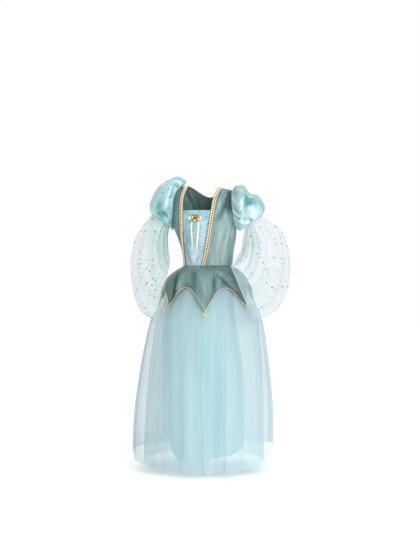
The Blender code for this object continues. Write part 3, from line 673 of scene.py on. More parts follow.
BRAID_WIDTH = 14 * MM
BRAID_OVERLAP = 2 * MM
BRAID_THICKNESS = 1.4 * MM
BRAID_CROWN = 0.8 * MM
BEAD_SEAT = 0.9 * MM
Beads = namedtuple("Beads", "across start radius spacing material")
BEAD_ROWS = {
    "pearl": Beads(0.33, 0.25, 3.2 * MM, 9.4 * MM, pearl),
    "gold": Beads(0.33, 0.75, 1.5 * MM, 9.4 * MM, gold_bead),
    "seed": Beads(0.87, 0.50, 1.7 * MM, 3.7 * MM, pearl),
}
for side_name, seam, side in (("left", seam_left, -1), ("right", seam_right, 1)):
    low, high = sorted((-side * BRAID_OVERLAP, side * (BRAID_WIDTH - BRAID_OVERLAP)))
    band = panel(lambda level: beside(seam(level), level, low),
                 lambda level: beside(seam(level), level, high))
    face = VELOUR + LAID_GAP + BRAID_THICKNESS
    u = np.linspace(0, 1, 9)
    v = np.linspace(0, PANEL_TOP, 181)
    grid_u, grid_v = np.meshgrid(u, v)
    lift = face + BRAID_CROWN * (1 - (2 * grid_u - 1) ** 2)
    name = f"braid_{side_name}"
    pieces[name] = cloth(name, lifted(band, u, v, lift), woven_braid, [name],
                         thickness=BRAID_THICKNESS)
    for row, bead in BEAD_ROWS.items():
        place = bead.across if side > 0 else 1 - bead.across
        v = np.linspace(0.01, 1.985, 600)
        line = lifted(band, [place], v, face + BEAD_SEAT)[:, 0]
        along = distances(line)
        stops = np.arange(bead.start * bead.spacing, along[-1] - bead.radius, bead.spacing)
        spots = read_path(line, along, stops)
        axes = bead.radius * np.eye(3)
        many(f"beads_{row}_{side_name}", sphere_points(6, 8),
             [(spot, *axes) for spot in spots], bead.material)

# %% [markdown]
# A **sleeve** is a row of rings from the armhole outward. Each ring is an ellipse from its
# inner end, at the body, to its outer end, and a smooth curve joins the rings. Gathers are
# waves round the rings: sharp and close where the cloth is sewn, broad in the middle.

# %% Sleeve rings
Ring = namedtuple("Ring", "inner_x inner_z outer_x outer_z inner_y outer_y half_depth lean")
PUFF = {
    "left": [
        Ring(-0.1235, -0.1550, -0.116, 0.020, 0.026, 0.002, 0.064, 0.046),
        Ring(-0.1255, -0.1535, -0.122, 0.041, 0.024, 0.003, 0.074, 0.022),
        Ring(-0.1285, -0.1515, -0.144, 0.026, 0.020, 0.004, 0.080, 0.006),
        Ring(-0.1290, -0.1510, -0.176, -0.002, 0.018, 0.003, 0.082, 0.0),
        Ring(-0.1300, -0.1490, -0.203, -0.055, 0.012, 0.002, 0.074, 0.0),
        Ring(-0.1315, -0.1455, -0.204, -0.088, 0.008, 0.002, 0.052, 0.0),
        Ring(-0.1325, -0.1400, -0.198, -0.0985, 0.006, 0.002, 0.040, 0.0),
    ],
    "right": [
        Ring(0.1225, -0.1560, 0.120, 0.006, -0.026, -0.002, 0.066, 0.004),
        Ring(0.1280, -0.1590, 0.144, 0.007, -0.025, -0.002, 0.078, 0.0),
        Ring(0.1325, -0.1590, 0.168, -0.024, -0.024, -0.004, 0.075, 0.0),
        Ring(0.1370, -0.1580, 0.200, -0.034, -0.022, -0.006, 0.080, 0.0),
        Ring(0.1420, -0.1550, 0.222, -0.070, -0.019, -0.008, 0.072, 0.0),
        Ring(0.1460, -0.1525, 0.219, -0.096, -0.017, -0.010, 0.052, 0.0),
        Ring(0.1490, -0.1480, 0.2135, -0.105, -0.016, -0.010, 0.039, 0.0),
    ],
}
BELL = {
    "left": [
        Ring(-0.1325, -0.1400, -0.198, -0.0985, 0.006, 0.002, 0.040, 0.0),
        Ring(-0.1390, -0.1750, -0.257, -0.176, 0.010, 0.020, 0.058, 0.0),
        Ring(-0.1390, -0.2140, -0.275, -0.278, -0.020, -0.015, 0.074, 0.0),
        Ring(-0.1350, -0.2510, -0.258, -0.386, -0.070, -0.085, 0.080, 0.0),
        Ring(-0.1310, -0.2660, -0.226, -0.456, -0.096, -0.122, 0.076, 0.0),
        Ring(-0.1275, -0.2775, -0.178, -0.483, -0.120, -0.160, 0.064, 0.0),
    ],
    "right": [
        Ring(0.1490, -0.1480, 0.2135, -0.105, -0.016, -0.010, 0.039, 0.0),
        Ring(0.1425, -0.1950, 0.289, -0.165, -0.012, 0.010, 0.062, 0.0),
        Ring(0.1350, -0.2325, 0.311, -0.2625, -0.060, -0.055, 0.080, 0.0),
        Ring(0.1200, -0.2625, 0.300, -0.3700, -0.115, -0.130, 0.080, 0.0),
        Ring(0.1080, -0.2790, 0.250, -0.4550, -0.142, -0.172, 0.076, 0.0),
        Ring(0.0940, -0.2925, 0.170, -0.4780, -0.165, -0.210, 0.064, 0.0),
    ],
}
SIDES = {"left": -1, "right": 1}
ARMHOLE_CLEARANCE = 2.4 * MM
ARMHOLE_LIFT = 1.8 * MM
SLEEVE_SEAM_GAP = 0.6 * MM


def ring_points(ring, side, around):
    inner = np.array([ring.inner_x, ring.inner_y, ring.inner_z])
    outer = np.array([ring.outer_x, ring.outer_y, ring.outer_z])
    cosine = np.cos(around)[..., None]
    sine = np.sin(around)[..., None]
    forward = np.array([0, -side * ring.half_depth, 0])
    lean = np.array([-side * ring.lean, 0, 0]) * ((1 + cosine) / 2) ** 6
    return (inner + outer) / 2 + (outer - inner) / 2 * cosine + forward * sine + lean


def ring_centre(ring, shape):
    inner = np.array([ring.inner_x, ring.inner_y, ring.inner_z])
    outer = np.array([ring.outer_x, ring.outer_y, ring.outer_z])
    return np.broadcast_to((inner + outer) / 2, shape)


def armhole_points(side, around):
    level = 1 + (1 + np.cos(around)) / 2
    front = np.sin(around) * side >= 0
    angle = np.where(front, front_edge(side, level), back_edge(side, level))
    top = ((1 + np.cos(around)) / 2)[..., None] ** 2
    return torso(angle, level) + [side * ARMHOLE_CLEARANCE, 0, 0] + top * [0, 0, ARMHOLE_LIFT]


def through(rings, along):
    """A smooth curve through rings of points, from 0 at the first to 1 at the last."""
    stack = np.stack(rings)
    last = len(rings) - 1
    place = np.clip(along, -STEP, 1 + STEP) * last
    i = np.clip(np.floor(place).astype(int), 0, last - 1)
    t = (place - i)[..., None]

    def pick(index):
        index = np.clip(index, 0, last)[None, ..., None]
        return np.take_along_axis(stack, np.broadcast_to(index, (1, *stack.shape[1:])), 0)[0]

    a, b, c, d = pick(i - 1), pick(i), pick(i + 1), pick(i + 2)
    cubic = (3 * (b - c) + d - a) * t ** 3 + (2 * a - 5 * b + 4 * c - d) * t ** 2
    return (cubic + (c - a) * t) / 2 + b


def sleeve(rings, centres, along, push):
    """Points of a smooth sleeve, moved away from its centre line by push."""
    points = through(rings, along)
    return points + unit(points - through(centres, along)) * push[..., None]


def uneven(count, seed):
    """Folds of uneven width and depth round a ring. The result reads a turn's phase, the
    depth of its fold, and how far the cloth there must swing sideways to double over."""
    pick = np.random.default_rng(seed)
    widths = pick.uniform(0.45, 1.55, count)
    widths *= 2 * math.pi / widths.sum()
    edges = np.concatenate([[0], np.cumsum(widths)])
    depths = pick.uniform(0.35, 1.0, count)

    def read(turn):
        place = np.mod(turn, 2 * math.pi)
        phase = np.interp(place, edges, 2 * math.pi * np.arange(count + 1))
        depth = np.interp(place, edges, np.append(depths, depths[0]))
        swing = np.interp(place, edges, np.append(widths, widths[0])) / (4 * math.pi)
        return phase, depth, swing
    return read


print(len(PUFF["left"]), "rings in the left puff,", len(BELL["left"]), "in its bell")

# %% [markdown]
# The **puffs** are satin. The broad waves keep the silhouette of the solid, and on top of them
# come the gathers of the two seams, which are narrow and die out towards the middle.
# The deep creases come from a table of folds, each a groove from one place on the sleeve to
# another, in radians round it and as a share of its length. The satin's tone follows them as
# painted shade in the grooves and painted highlight on the ridges, and painted light and shade
# also shift it from the outer side of a sleeve to the side at the body: the right puff is painted
# darker outside and paler at the body, the left one darker at the body.

# %% Puff sleeves
PUFF_FOLDS = {
    "right": [
        Fold(1.80, -0.12, 1.94, 0.34, -9.0, 0.045), Fold(2.24, -0.20, 2.15, 0.30, -7.0, 0.034),
        Fold(2.16, 0.10, 1.92, 0.82, -7.0, 0.034), Fold(2.46, -0.20, 2.38, 0.80, -7.0, 0.034),
        Fold(2.04, -0.10, 2.06, 0.36, 4.0, 0.030), Fold(2.32, -0.10, 2.24, 0.80, 4.0, 0.028),
        Fold(2.82, -0.20, 2.95, 0.40, -4.0, 0.030), Fold(0.55, 0.43, 1.80, 0.36, -12.0, 0.060),
        Fold(1.10, 0.44, 0.96, 0.60, -6.0, 0.090), Fold(1.30, 0.20, 1.70, 0.26, 5.0, 0.090),
        Fold(1.20, 0.74, 1.70, 0.56, 4.0, 0.100), Fold(1.86, 0.66, 1.94, 0.76, -7.0, 0.050),
    ],
    "left": [
        Fold(5.40, 0.34, 4.50, 0.54, 7.0, 0.075), Fold(5.60, 0.20, 4.70, 0.36, -5.0, 0.050),
        Fold(5.40, 0.66, 4.30, 0.66, -6.0, 0.070), Fold(5.05, 0.80, 4.10, 0.52, -8.0, 0.035),
        Fold(6.10, -0.15, 5.95, 0.44, -5.0, 0.034), Fold(5.72, -0.15, 5.50, 0.40, -6.0, 0.034),
        Fold(5.92, -0.15, 5.74, 0.40, 3.0, 0.030), Fold(5.30, -0.10, 5.05, 0.26, -4.0, 0.030),
    ],
}
AROUND_TO_ALONG = 0.4
BROAD_DEPTH = 3.0 * MM
PINCH_DEPTH = 2.4 * MM
UPPER_GATHERS = 34
UPPER_GATHER = 0.6 * MM
LOWER_GATHERS = 30
LOWER_GATHER = 1.2 * MM
SATIN_PAINTED_LIGHT_PER_MM = 0.04
Shade = namedtuple("Shade", "outside inside")
# Painted light and shade on the outer side and the body side of each puff.
PUFF_PAINTED_SIDE_LIGHT = {"left": Shade(0.0, -0.16), "right": Shade(-0.16, 0.24)}


def puff_creases(side_name, around, along):
    placed = [fold._replace(u0=fold.u0 * AROUND_TO_ALONG, u1=fold.u1 * AROUND_TO_ALONG)
              for fold in PUFF_FOLDS[side_name]]
    return ridges(placed, around * AROUND_TO_ALONG, along)


def puff_surface(side_name):
    side = SIDES[side_name]
    table = PUFF[side_name]

    def surface(around, along):
        rings = [armhole_points(side, around)]
        rings += [ring_points(ring, side, around) for ring in table]
        centres = [ring_centre(ring, rings[0].shape) for ring in (table[0], *table)]
        middle = np.sin(math.pi * np.clip(along, 0, 1))
        broad = np.cos(8 * around) + 0.5 * np.cos(5 * around + 1)
        bent = around + 0.22 * np.sin(3.1 * along + 2 * around)
        folds = 0.6 * np.abs(np.sin(5.5 * bent + 0.8)) + 0.3 * np.abs(np.sin(9 * bent + 2.0 * along))
        upper = UPPER_GATHER * np.cos(UPPER_GATHERS * bent) * ramp(0.34 - along, 0, 0.3)
        lower = LOWER_GATHER * np.cos(LOWER_GATHERS * bent + 1) * ramp(along, 0.62, 0.98)
        push = middle * (BROAD_DEPTH * broad - PINCH_DEPTH * (folds - 0.6))
        push = push + (upper + lower) * ramp(middle, 0, 0.12)
        push = push + puff_creases(side_name, around, along) * ramp(middle, 0, 0.2)
        return sleeve(rings, centres, along, push)
    return surface


for side_name in SIDES:
    around = np.linspace(0, 2 * math.pi, 260, endpoint=False)
    along = np.linspace(0, 1, 90)
    name = f"puff_{side_name}"
    points = lifted(puff_surface(side_name), around, along, 0.0)
    grid_a, grid_l = np.meshgrid(around, along)
    shade = PUFF_PAINTED_SIDE_LIGHT[side_name]
    inward = ramp((1 - np.cos(grid_a)) / 2, 0.1, 0.5)
    # Painted shade in the creases and painted highlight on the ridges, then painted light and shade by side
    # of the sleeve.
    tone = puff_creases(side_name, grid_a, grid_l) / MM * SATIN_PAINTED_LIGHT_PER_MM
    tone = tone + shade.outside + (shade.inside - shade.outside) * inward
    pieces[name] = cloth(name, points, satin, [name], closed=True, tone=tone)

# %% [markdown]
# The **bell sleeves** are organza. Sheer cloth shows its folds where it overlaps itself, so the
# folds here really double over: the point on the ring runs ahead and falls back as the fold
# goes in and out, which draws the cloth as an S seen from its edge. Folds are close where the
# cloth is gathered under the puff and on the side of the body, and open out towards the cuff.
# The cloth's tone is higher there, so it covers more and looks more aqua.

# %% Bell sleeves
BELL_FOLDS = 9
BELL_WAVE = 7.0 * MM
SEWN_FOLD = 1.2 * MM
OPEN_FOLD = 3.2 * MM
OUTER_DOUBLING = 0.3
BODY_DOUBLING = 2.6
BELL_TONE = {"left": Shade(0.0, 0.44), "right": Shade(-0.08, 0.08)}


def bell_surface(side_name):
    side = SIDES[side_name]
    table = BELL[side_name]
    slope_x = table[0].outer_x - table[0].inner_x
    slope_z = table[0].outer_z - table[0].inner_z
    down = side * np.array([slope_z, 0, -slope_x])
    shift = unit(down) * SLEEVE_SEAM_GAP
    folded = uneven(BELL_FOLDS, 4 + side)

    def surface(around, along):
        phase, depth, swing = folded(around + 0.10 * np.sin(2.2 * along + around))
        body_side = (1 - np.cos(around)) / 2
        doubling = (OUTER_DOUBLING + BODY_DOUBLING * body_side) * (1 - 0.4 * along)
        turned = around - doubling * swing * np.sin(2 * phase)
        rings = [ring_points(ring, side, turned) + shift for ring in table]
        centres = [ring_centre(ring, rings[0].shape) + shift for ring in table]
        broad = np.cos(5 * around + 0.6) + 0.5 * np.cos(3 * around + 2)
        gathered = (SEWN_FOLD + OPEN_FOLD * ramp(along, 0.02, 0.5)) * depth * np.sin(phase)
        return sleeve(rings, centres, along, BELL_WAVE * ramp(along, 0, 1) * broad + gathered)
    return surface


for side_name in SIDES:
    around = np.linspace(0, 2 * math.pi, 408, endpoint=False)
    along = np.linspace(0, 1, 72)
    name = f"bell_{side_name}"
    grid_a, grid_l = np.meshgrid(around, along)
    body_side = ramp((1 - np.cos(grid_a)) / 2, 0.25, 0.95)
    shade = BELL_TONE[side_name]
    close = shade.outside + (shade.inside - shade.outside) * body_side * (1 - 0.35 * grid_l)
    close = close + shade.inside * ramp(0.10 - grid_l, 0, 0.1)
    pieces[name] = cloth(name, bell_surface(side_name)(grid_a, grid_l), organza,
                         [name], closed=True, tone=close)

# %% [markdown]
# The **skirt** has three layers, given as half-widths from hem to waist. Each layer keeps the
# long waves of its solid. The two tulle layers are gathered much fuller, so they take the same
# doubled folds as the bells, with uneven widths, and their hems are cut unevenly. Net that lies
# close covers more, and its tone shows that: in soft streaks, at the waist, along the hem, and
# at the sides, where it is seen edge on.

# %% Skirt layers
Skirt = namedtuple("Skirt", "height centre_x lining_x depth_ratio lining inner outer peplum")
SKIRT = [
    Skirt(-1.0400, -0.0060, -0.0070, 0.93, 0.1480, 0.2230, 0.2630, 0.2700),
    Skirt(-0.9500, -0.0060, -0.0070, 0.93, 0.1480, 0.2210, 0.2620, 0.2690),
    Skirt(-0.8250, -0.0030, -0.0065, 0.93, 0.1505, 0.2170, 0.2580, 0.2650),
    Skirt(-0.7000, 0.0000, -0.0090, 0.93, 0.1480, 0.2100, 0.2440, 0.2510),
    Skirt(-0.5800, 0.0030, -0.0175, 0.92, 0.1400, 0.1980, 0.2260, 0.2350),
    Skirt(-0.4900, 0.0055, -0.0200, 0.92, 0.1310, 0.1860, 0.2060, 0.2120),
    Skirt(-0.4400, 0.0060, -0.0170, 0.92, 0.1240, 0.1640, 0.1800, 0.1865),
    Skirt(-0.4000, 0.0060, -0.0100, 0.91, 0.1160, 0.1490, 0.1620, 0.1685),
    Skirt(-0.3600, 0.0060, -0.0010, 0.90, 0.1080, 0.1380, 0.1490, 0.1555),
    Skirt(-0.3250, 0.0080, 0.0060, 0.89, 0.0995, 0.1190, 0.1290, 0.1360),
    Skirt(-0.3060, 0.0100, 0.0098, 0.88, 0.0910, 0.1000, 0.1060, 0.1120),
    Skirt(-0.2930, 0.0105, 0.0105, 0.872, 0.0848, 0.0866, 0.0881, 0.0896),
]
SKIRT_TOP = -0.2930
HEM_RIPPLE = 2.2 * MM
HEM_RIPPLES = 23
SEWN_DEPTH = 0.16
Opening = namedtuple("Opening", "share start end")
OPENINGS = [Opening(0.32, 0.30, 0.46), Opening(0.52, 0.46, 0.66)]
STREAK_TONE = 0.16
WAIST_TONE = 0.10
HEM_TONE = 0.22
SIDE_TONE = {"lining": 0.0, "inner": 0.10, "outer": 0.34}
Wave = namedtuple("Wave", "count share phase")
Hem = namedtuple("Hem", "angle height")
Layer = namedtuple("Layer", "column fold_depth folds pleats pleat_depth doubling seed hem")
LAYERS = {
    "lining": Layer(
        "lining", 0.0050, [Wave(8, 0.55, 0.4), Wave(5, 0.30, 0.8), Wave(3, 0.15, 0.0)], 17, 3.5, 0.0, 2,
        [Hem(-180, -0.975), Hem(-100, -0.925), Hem(-60, -0.925), Hem(-46, -0.985), Hem(0, -0.998),
         Hem(50, -0.985), Hem(90, -0.968), Hem(180, -0.975)],
    ),
    "tulle_inner": Layer(
        "inner", 0.0080, [Wave(11, 0.55, 1.1), Wave(7, 0.30, 2.2), Wave(4, 0.15, 0.0)], 9, 7.0, 0.50, 8,
        [Hem(-180, -1.020), Hem(-90, -1.015), Hem(-40, -1.034), Hem(10, -1.030), Hem(50, -1.030),
         Hem(90, -1.020), Hem(180, -1.020)],
    ),
    "tulle_outer": Layer(
        "outer", 0.0110, [Wave(12, 0.55, 2.0), Wave(9, 0.30, 4.0), Wave(5, 0.15, 0.0)], 12, 7.0, 0.60, 11,
        [Hem(-180, -1.000), Hem(-110, -0.980), Hem(-75, -1.000), Hem(-40, -1.024), Hem(0, -1.030),
         Hem(45, -1.020), Hem(75, -0.975), Hem(90, -0.957), Hem(120, -0.975), Hem(180, -1.000)],
    ),
}


def ripple(waves, turn):
    return sum(wave.share * np.cos(wave.count * turn + wave.phase) for wave in waves)


def skirt_folds(layer, angle, height):
    return layer.fold_depth * ramp(-height, 0.30, 0.62) * ripple(layer.folds, np.radians(angle))


def skirt_point(column, angle, height, push):
    sine = np.sin(np.radians(angle))
    cosine = np.cos(np.radians(angle))
    half_width = smooth(SKIRT, column, height)
    half_depth = half_width * smooth(SKIRT, "depth_ratio", height)
    centre = smooth(SKIRT, "lining_x" if column == "lining" else "centre_x", height)
    x = centre + (half_width + push) * sine
    return np.stack([x, -(half_depth + push) * cosine, height], axis=-1)


def skirt_layer(layer, columns, rows):
    """A layer's grid of points, from hem to waist, and its tone."""
    turn, up = np.meshgrid(
        np.linspace(-math.pi, math.pi, columns, endpoint=False), np.linspace(0, 1, rows) ** 0.9)
    drift = 0.05 * np.sin(2.0 * up + 3 * turn) + 0.02 * np.sin(3.5 * up + 7 * turn)
    phase, depth, swing = uneven(layer.pleats, layer.seed)(turn + drift)
    rippled = HEM_RIPPLE * np.cos(HEM_RIPPLES * turn + np.sin(5 * turn))
    hem = smooth(layer.hem, "height", np.degrees(turn)) + rippled
    height = SKIRT_TOP + (hem - SKIRT_TOP) * (1 - up)
    opened = SEWN_DEPTH
    for opening in OPENINGS:
        opened = opened + opening.share * ramp(-height, opening.start, opening.end)
    opened = opened * ramp(1 - up, 0.0, 0.02)
    doubling = layer.doubling * ramp(-height, 0.31, 0.55) * swing
    angle = np.degrees(turn - doubling * np.sin(2 * phase))
    push = skirt_folds(layer, np.degrees(turn), height)
    push = push + layer.pleat_depth * MM * depth * opened * np.sin(phase)
    close = STREAK_TONE * depth * np.cos(2 * phase) * ramp(-height, 0.30, 0.42)
    ends = WAIST_TONE * (1 - ramp(-height, 0.30, 0.52)) + HEM_TONE * ramp(-height, 0.88, 1.02)
    sides = SIDE_TONE[layer.column] * np.sin(turn) ** 6 * ramp(-height, 0.34, 0.60)
    return skirt_point(layer.column, angle, height, push), close + ends + sides


SKIRT_FINISH = {"lining": lining_cloth, "tulle_inner": inner_net, "tulle_outer": outer_net}
SKIRT_SIZE = {"lining": (300, 60), "tulle_inner": (620, 60), "tulle_outer": (720, 64)}
for name, layer in LAYERS.items():
    points, tone = skirt_layer(layer, *SKIRT_SIZE[name])
    pieces[name] = cloth(name, points, SKIRT_FINISH[name],
                         [f"{name}_front", f"{name}_back"], closed=True, tone=tone)

# %% [markdown]
# The **peplum** is velour cut into petals. Its edge is a rounded arch between two petals and a
# point at each tip, which a power of the distance from the tip gives. It lies on the tulle,
# so its ridges are higher than its grooves are deep. One deep fold divides the left petal from
# the middle one.

# %% Peplum
Petal = namedtuple("Petal", "start tip end")
PETALS = {
    "front": [Petal(-84.0, -46.5, -26.5), Petal(-26.5, -1.5, 23.5), Petal(23.5, 48.0, 80.0)],
    "back_right": [Petal(80.0, 106.0, 132.0), Petal(132.0, 156.5, 181.0)],
    "back_left": [Petal(181.0, 205.0, 229.0), Petal(229.0, 252.5, 276.0)],
}
ARCH_FRONT = -0.378
ARCH_SIDE = -0.356
PETAL_DROP_FRONT = 0.080
PETAL_DROP_SIDE = 0.068
PETAL_CURVE = 2.0
HALF_PETAL = 30
PEPLUM_FOLDS = {
    "front": [
        Fold(-64, -0.300, -61, -0.40, 2.0, 5.0), Fold(-54, -0.293, -44, -0.40, -8.5, 3.6),
        Fold(-42, -0.300, -35, -0.41, 4.5, 5.0), Fold(-24, -0.293, -20, -0.36, -3.0, 5.0),
        Fold(-5, -0.310, -4, -0.44, 2.6, 4.0), Fold(11, -0.300, 9, -0.40, -4.5, 2.4),
        Fold(18, -0.300, 31, -0.350, 1.6, 3.5), Fold(10, -0.310, 30, -0.365, -5.5, 3.2),
        Fold(34, -0.300, 46, -0.345, -4.0, 3.2), Fold(46, -0.305, 55, -0.385, 3.0, 4.0),
        Fold(62, -0.310, 67, -0.38, 2.0, 4.0),
    ],
    "back_right": [Fold(95, -0.31, 98, -0.40, 3.0, 4.0), Fold(108, -0.30, 112, -0.40, -4.0, 3.0),
                   Fold(125, -0.31, 128, -0.42, 3.0, 4.0), Fold(140, -0.30, 143, -0.40, -4.0, 3.0),
                   Fold(155, -0.31, 156, -0.39, 3.0, 4.0)],
    "back_left": [Fold(205, -0.31, 204, -0.39, 3.0, 4.0), Fold(220, -0.30, 218, -0.40, -4.0, 3.0),
                  Fold(236, -0.31, 234, -0.42, 3.0, 4.0), Fold(251, -0.30, 248, -0.40, -4.0, 3.0),
                  Fold(264, -0.31, 262, -0.39, 3.0, 4.0)],
}
PETAL_WAVE = 2.1 * MM
PEPLUM_TONE = -0.14
PEPLUM_DEEPEST = 4.0 * MM


def petal_edge(petals, angle):
    """The height of the edge: rounded between petals, pointed at each tip, lower in front."""
    front = np.maximum(np.cos(np.radians(angle)), 0) ** 2
    height = ARCH_SIDE + (ARCH_FRONT - ARCH_SIDE) * front
    drop = PETAL_DROP_SIDE + (PETAL_DROP_FRONT - PETAL_DROP_SIDE) * front
    for petal in petals:
        before = (angle - petal.start) / (petal.tip - petal.start)
        after = (petal.end - angle) / (petal.end - petal.tip)
        near = np.clip(np.minimum(before, after), 0, 1)
        height = height - drop * near ** PETAL_CURVE
    return height


def fan_folds(folds, angle, height):
    """Ridges down the cloth, each from one angle and height to another."""
    total = np.zeros(np.broadcast(angle, height).shape)
    for fold in folds:
        down = np.clip((height - fold.v0) / (fold.v1 - fold.v0), 0, 1.6)
        line = fold.u0 + (fold.u1 - fold.u0) * down
        total = total + fold.depth * MM * ramp(down, 0, 0.5) * np.exp(-((angle - line) / fold.width) ** 2)
    return total


def peplum_surface(petals, folds):
    def surface(angle, up):
        height = SKIRT_TOP + (petal_edge(petals, angle) - SKIRT_TOP) * (1 - up)
        wave = PETAL_WAVE * (1 + np.cos(7 * np.radians(angle) + 0.5)) * ramp(-height, -SKIRT_TOP, 0.40)
        own = wave + np.maximum(fan_folds(folds, angle, height), -PEPLUM_DEEPEST)
        push = skirt_folds(LAYERS["tulle_outer"], angle, height) + own
        return skirt_point("peplum", angle, height, push)
    return surface


edges = {}
for name, petals in PETALS.items():
    surface = peplum_surface(petals, PEPLUM_FOLDS[name])
    spread = []
    for petal in petals:
        spread.append(np.linspace(petal.start, petal.tip, HALF_PETAL, endpoint=False))
        spread.append(np.linspace(petal.tip, petal.end, HALF_PETAL, endpoint=False))
    angles = np.concatenate([*spread, [petals[-1].end]])
    angles[0] += SEAM_ANGLE
    angles[-1] -= SEAM_ANGLE
    up = np.linspace(0, 1, 44)
    outer = lifted(surface, angles, up, VELOUR, level=True)
    turn = np.broadcast_to(angles, outer.shape[:2])
    # Painted shade in the fold grooves and painted highlight on the ridges, and the peplum a little darker
    # overall.
    tone = fan_folds(PEPLUM_FOLDS[name], turn, outer[..., 2]) / MM * FOLD_PAINTED_LIGHT_PER_MM + PEPLUM_TONE
    pieces[f"peplum_{name}"] = cloth(f"peplum_{name}", outer, velour, [f"peplum_{name}"],
                                     thickness=VELOUR - 0.2 * MM, tone=tone)
    edges[name] = (surface, angles, petals)

# %% [markdown]
# A thin **cord** of three twisted strands edges the petals, and a **star charm** hangs at every
# tip. The cord is a tube whose section has three lobes that turn as it goes along. A star is
# ten rim points with a raised middle, so its five ridges catch the light.

# %% Cord and stars
CORD_RADIUS = 1.5 * MM
CORD_TWIST = 5 * MM
CORD_SIDES = 9
CORD_STEP = 1.1 * MM
STAR_RADIUS = 10.5 * MM
STAR_WAIST = 0.48
STAR_DEPTH = 2.6 * MM
STAR_POINTS = 5


def cord_mesh(name, path, outward, radius, material, replaces=(), lobes=0.24):
    """A twisted cord along a path, closed at both ends."""
    tangent = unit(np.gradient(path, axis=0))
    side = unit(np.cross(tangent, outward))
    face = np.cross(side, tangent)
    turns = np.linspace(0, 2 * math.pi, CORD_SIDES, endpoint=False)
    twist = 2 * math.pi * distances(path)[:, None] / (3 * CORD_TWIST)
    reach = radius * (1 - lobes / 2 + lobes / 2 * np.cos(3 * (turns[None, :] + twist)))
    spokes = face[:, None] * np.cos(turns)[:, None] + side[:, None] * np.sin(turns)[:, None]
    rings = path[:, None] + spokes * reach[..., None]
    rows = len(path)
    faces = grid_faces(rows, CORD_SIDES, closed=True)
    faces.append(list(range(CORD_SIDES))[::-1])
    faces.append(list(range((rows - 1) * CORD_SIDES, rows * CORD_SIDES)))
    print(f"{name}: {distances(path)[-1]:.2f} m of cord")
    return show(new_object(f"{name}_strands", rings, faces), material, replaces)


def even_path(path, spacing):
    along = distances(path)
    return read_path(path, along, np.linspace(0, along[-1], int(along[-1] / spacing) + 1))


def star_shape():
    """A star of radius 1 in x and z, 1 thick along y, with a raised middle."""
    count = 2 * STAR_POINTS
    turns = np.linspace(0, 2 * math.pi, count, endpoint=False)
    reach = np.where(np.arange(count) % 2, STAR_WAIST, 1.0)
    rim = np.stack([np.sin(turns) * reach, np.zeros(count), np.cos(turns) * reach], axis=1)
    points = [*rim, *(rim + [0, 0.35, 0]), *(rim * 0.86 + [0, 0.6, 0]), [0, 1.15, 0], [0, 0, 0]]
    faces = []
    for a in range(count):
        b = (a + 1) % count
        faces += [(b, a, a + count, b + count), (b + count, a + count, a + 2 * count, b + 2 * count),
                  (b + 2 * count, a + 2 * count, 3 * count), (a, b, 3 * count + 1)]
    return np.array(points), faces


number = 0
for name, (surface, angles, petals) in edges.items():
    outer = lifted(surface, angles, [0.0, 0.33], VELOUR, level=True)
    inner = lifted(surface, angles, [0.0, 0.33], 0.0, level=True)
    outward = unit(outer[0] - inner[0])
    path = outer[0] + outward * (CORD_RADIUS + SEAM_GAP) + np.array([0, 0, CORD_RADIUS / 2])
    fine = even_path(path, CORD_STEP)
    out_fine = read_path(outward, distances(path), distances(fine))
    cord_mesh(f"cord_{name}", fine, out_fine, CORD_RADIUS, gold_cord, [f"cord_{name}"])
    for petal in range(len(petals)):
        number += 1
        middle = (2 * petal + 1) * HALF_PETAL
        out = outward[middle]
        across = np.array([-out[1], out[0], 0.0])
        up_cloth = unit(outer[1][middle] - outer[0][middle])
        out_cloth = np.cross(across, up_cloth)
        out_cloth *= np.sign(out_cloth @ out)
        drop = STAR_RADIUS + CORD_RADIUS + SEAM_GAP
        centre = outer[0][middle] - up_cloth * drop + out_cloth * SEAM_GAP
        star = many(f"star_{number}_charm", star_shape(), [
            (centre, across * STAR_RADIUS, out_cloth * STAR_DEPTH, up_cloth * STAR_RADIUS),
        ], gilt, [f"star_{number}"])
        star.data.shade_flat()

# %% [markdown]
# The **bow** is a short ivory ribbon folded into two loops, with a gilt **rosette** of eight
# leaves round a dark stone on it and two tails below. A loop is a strip that goes out, turns
# and comes back, so it is drawn as a closed strip with a ribbon's width.

# %% Bow, rosette and tails
BOW_ANGLE = -15.5
BOW_LEVEL = 1.13
KNOT = 1.2 * MM
LOOP_RISE = 1.5 * MM
LOOP_NARROW = 2.6 * MM
LOOP_FLARE = 3.6 * MM
LOOP_REACH = {"left": 26 * MM, "right": 20.5 * MM}
ROSETTE_WIDTH = 36 * MM
ROSETTE_HEIGHT = 31 * MM
LEAVES = 8
LEAF_MIDDLE = 0.64
LEAF_REACH = 0.36
PEARL_TURNS = (-25, -100, 160)
PEARL_PLACE = 0.66
GRAINS = 16


def insert_frame(lift):
    """A point in front of the insert at the bow, with its across, up and outward directions."""
    point = torso(np.array(BOW_ANGLE), np.array(BOW_LEVEL))
    across = unit(torso(np.array(BOW_ANGLE + 1), np.array(BOW_LEVEL)) - point)
    up = torso(np.array(BOW_ANGLE), np.array(BOW_LEVEL + 0.01)) - point
    outward = unit(np.cross(across, up))
    return point + outward * lift, across, np.cross(outward, across), outward


centre, across, up, outward = insert_frame(BROCADE + LAID_GAP + KNOT)
for side_name, side in SIDES.items():
    t = np.linspace(0.12, 2 * math.pi - 0.12, 40)
    out = LOOP_REACH[side_name] * (1 - np.cos(t)) / 2
    thick = LOOP_RISE * np.sin(t)
    wide = LOOP_NARROW + LOOP_FLARE * np.sin(t / 2) ** 1.5
    strip = np.linspace(-1, 1, 7)
    points = (centre + side * out[:, None, None] * across + thick[:, None, None] * outward
              + (wide[:, None] * strip[None, :])[..., None] * up)
    loop_name = f"loop_{side_name}"
    pieces[loop_name] = cloth(loop_name, points, ribbon,
                              ["bow"] if side < 0 else (), thickness=0.4 * MM)

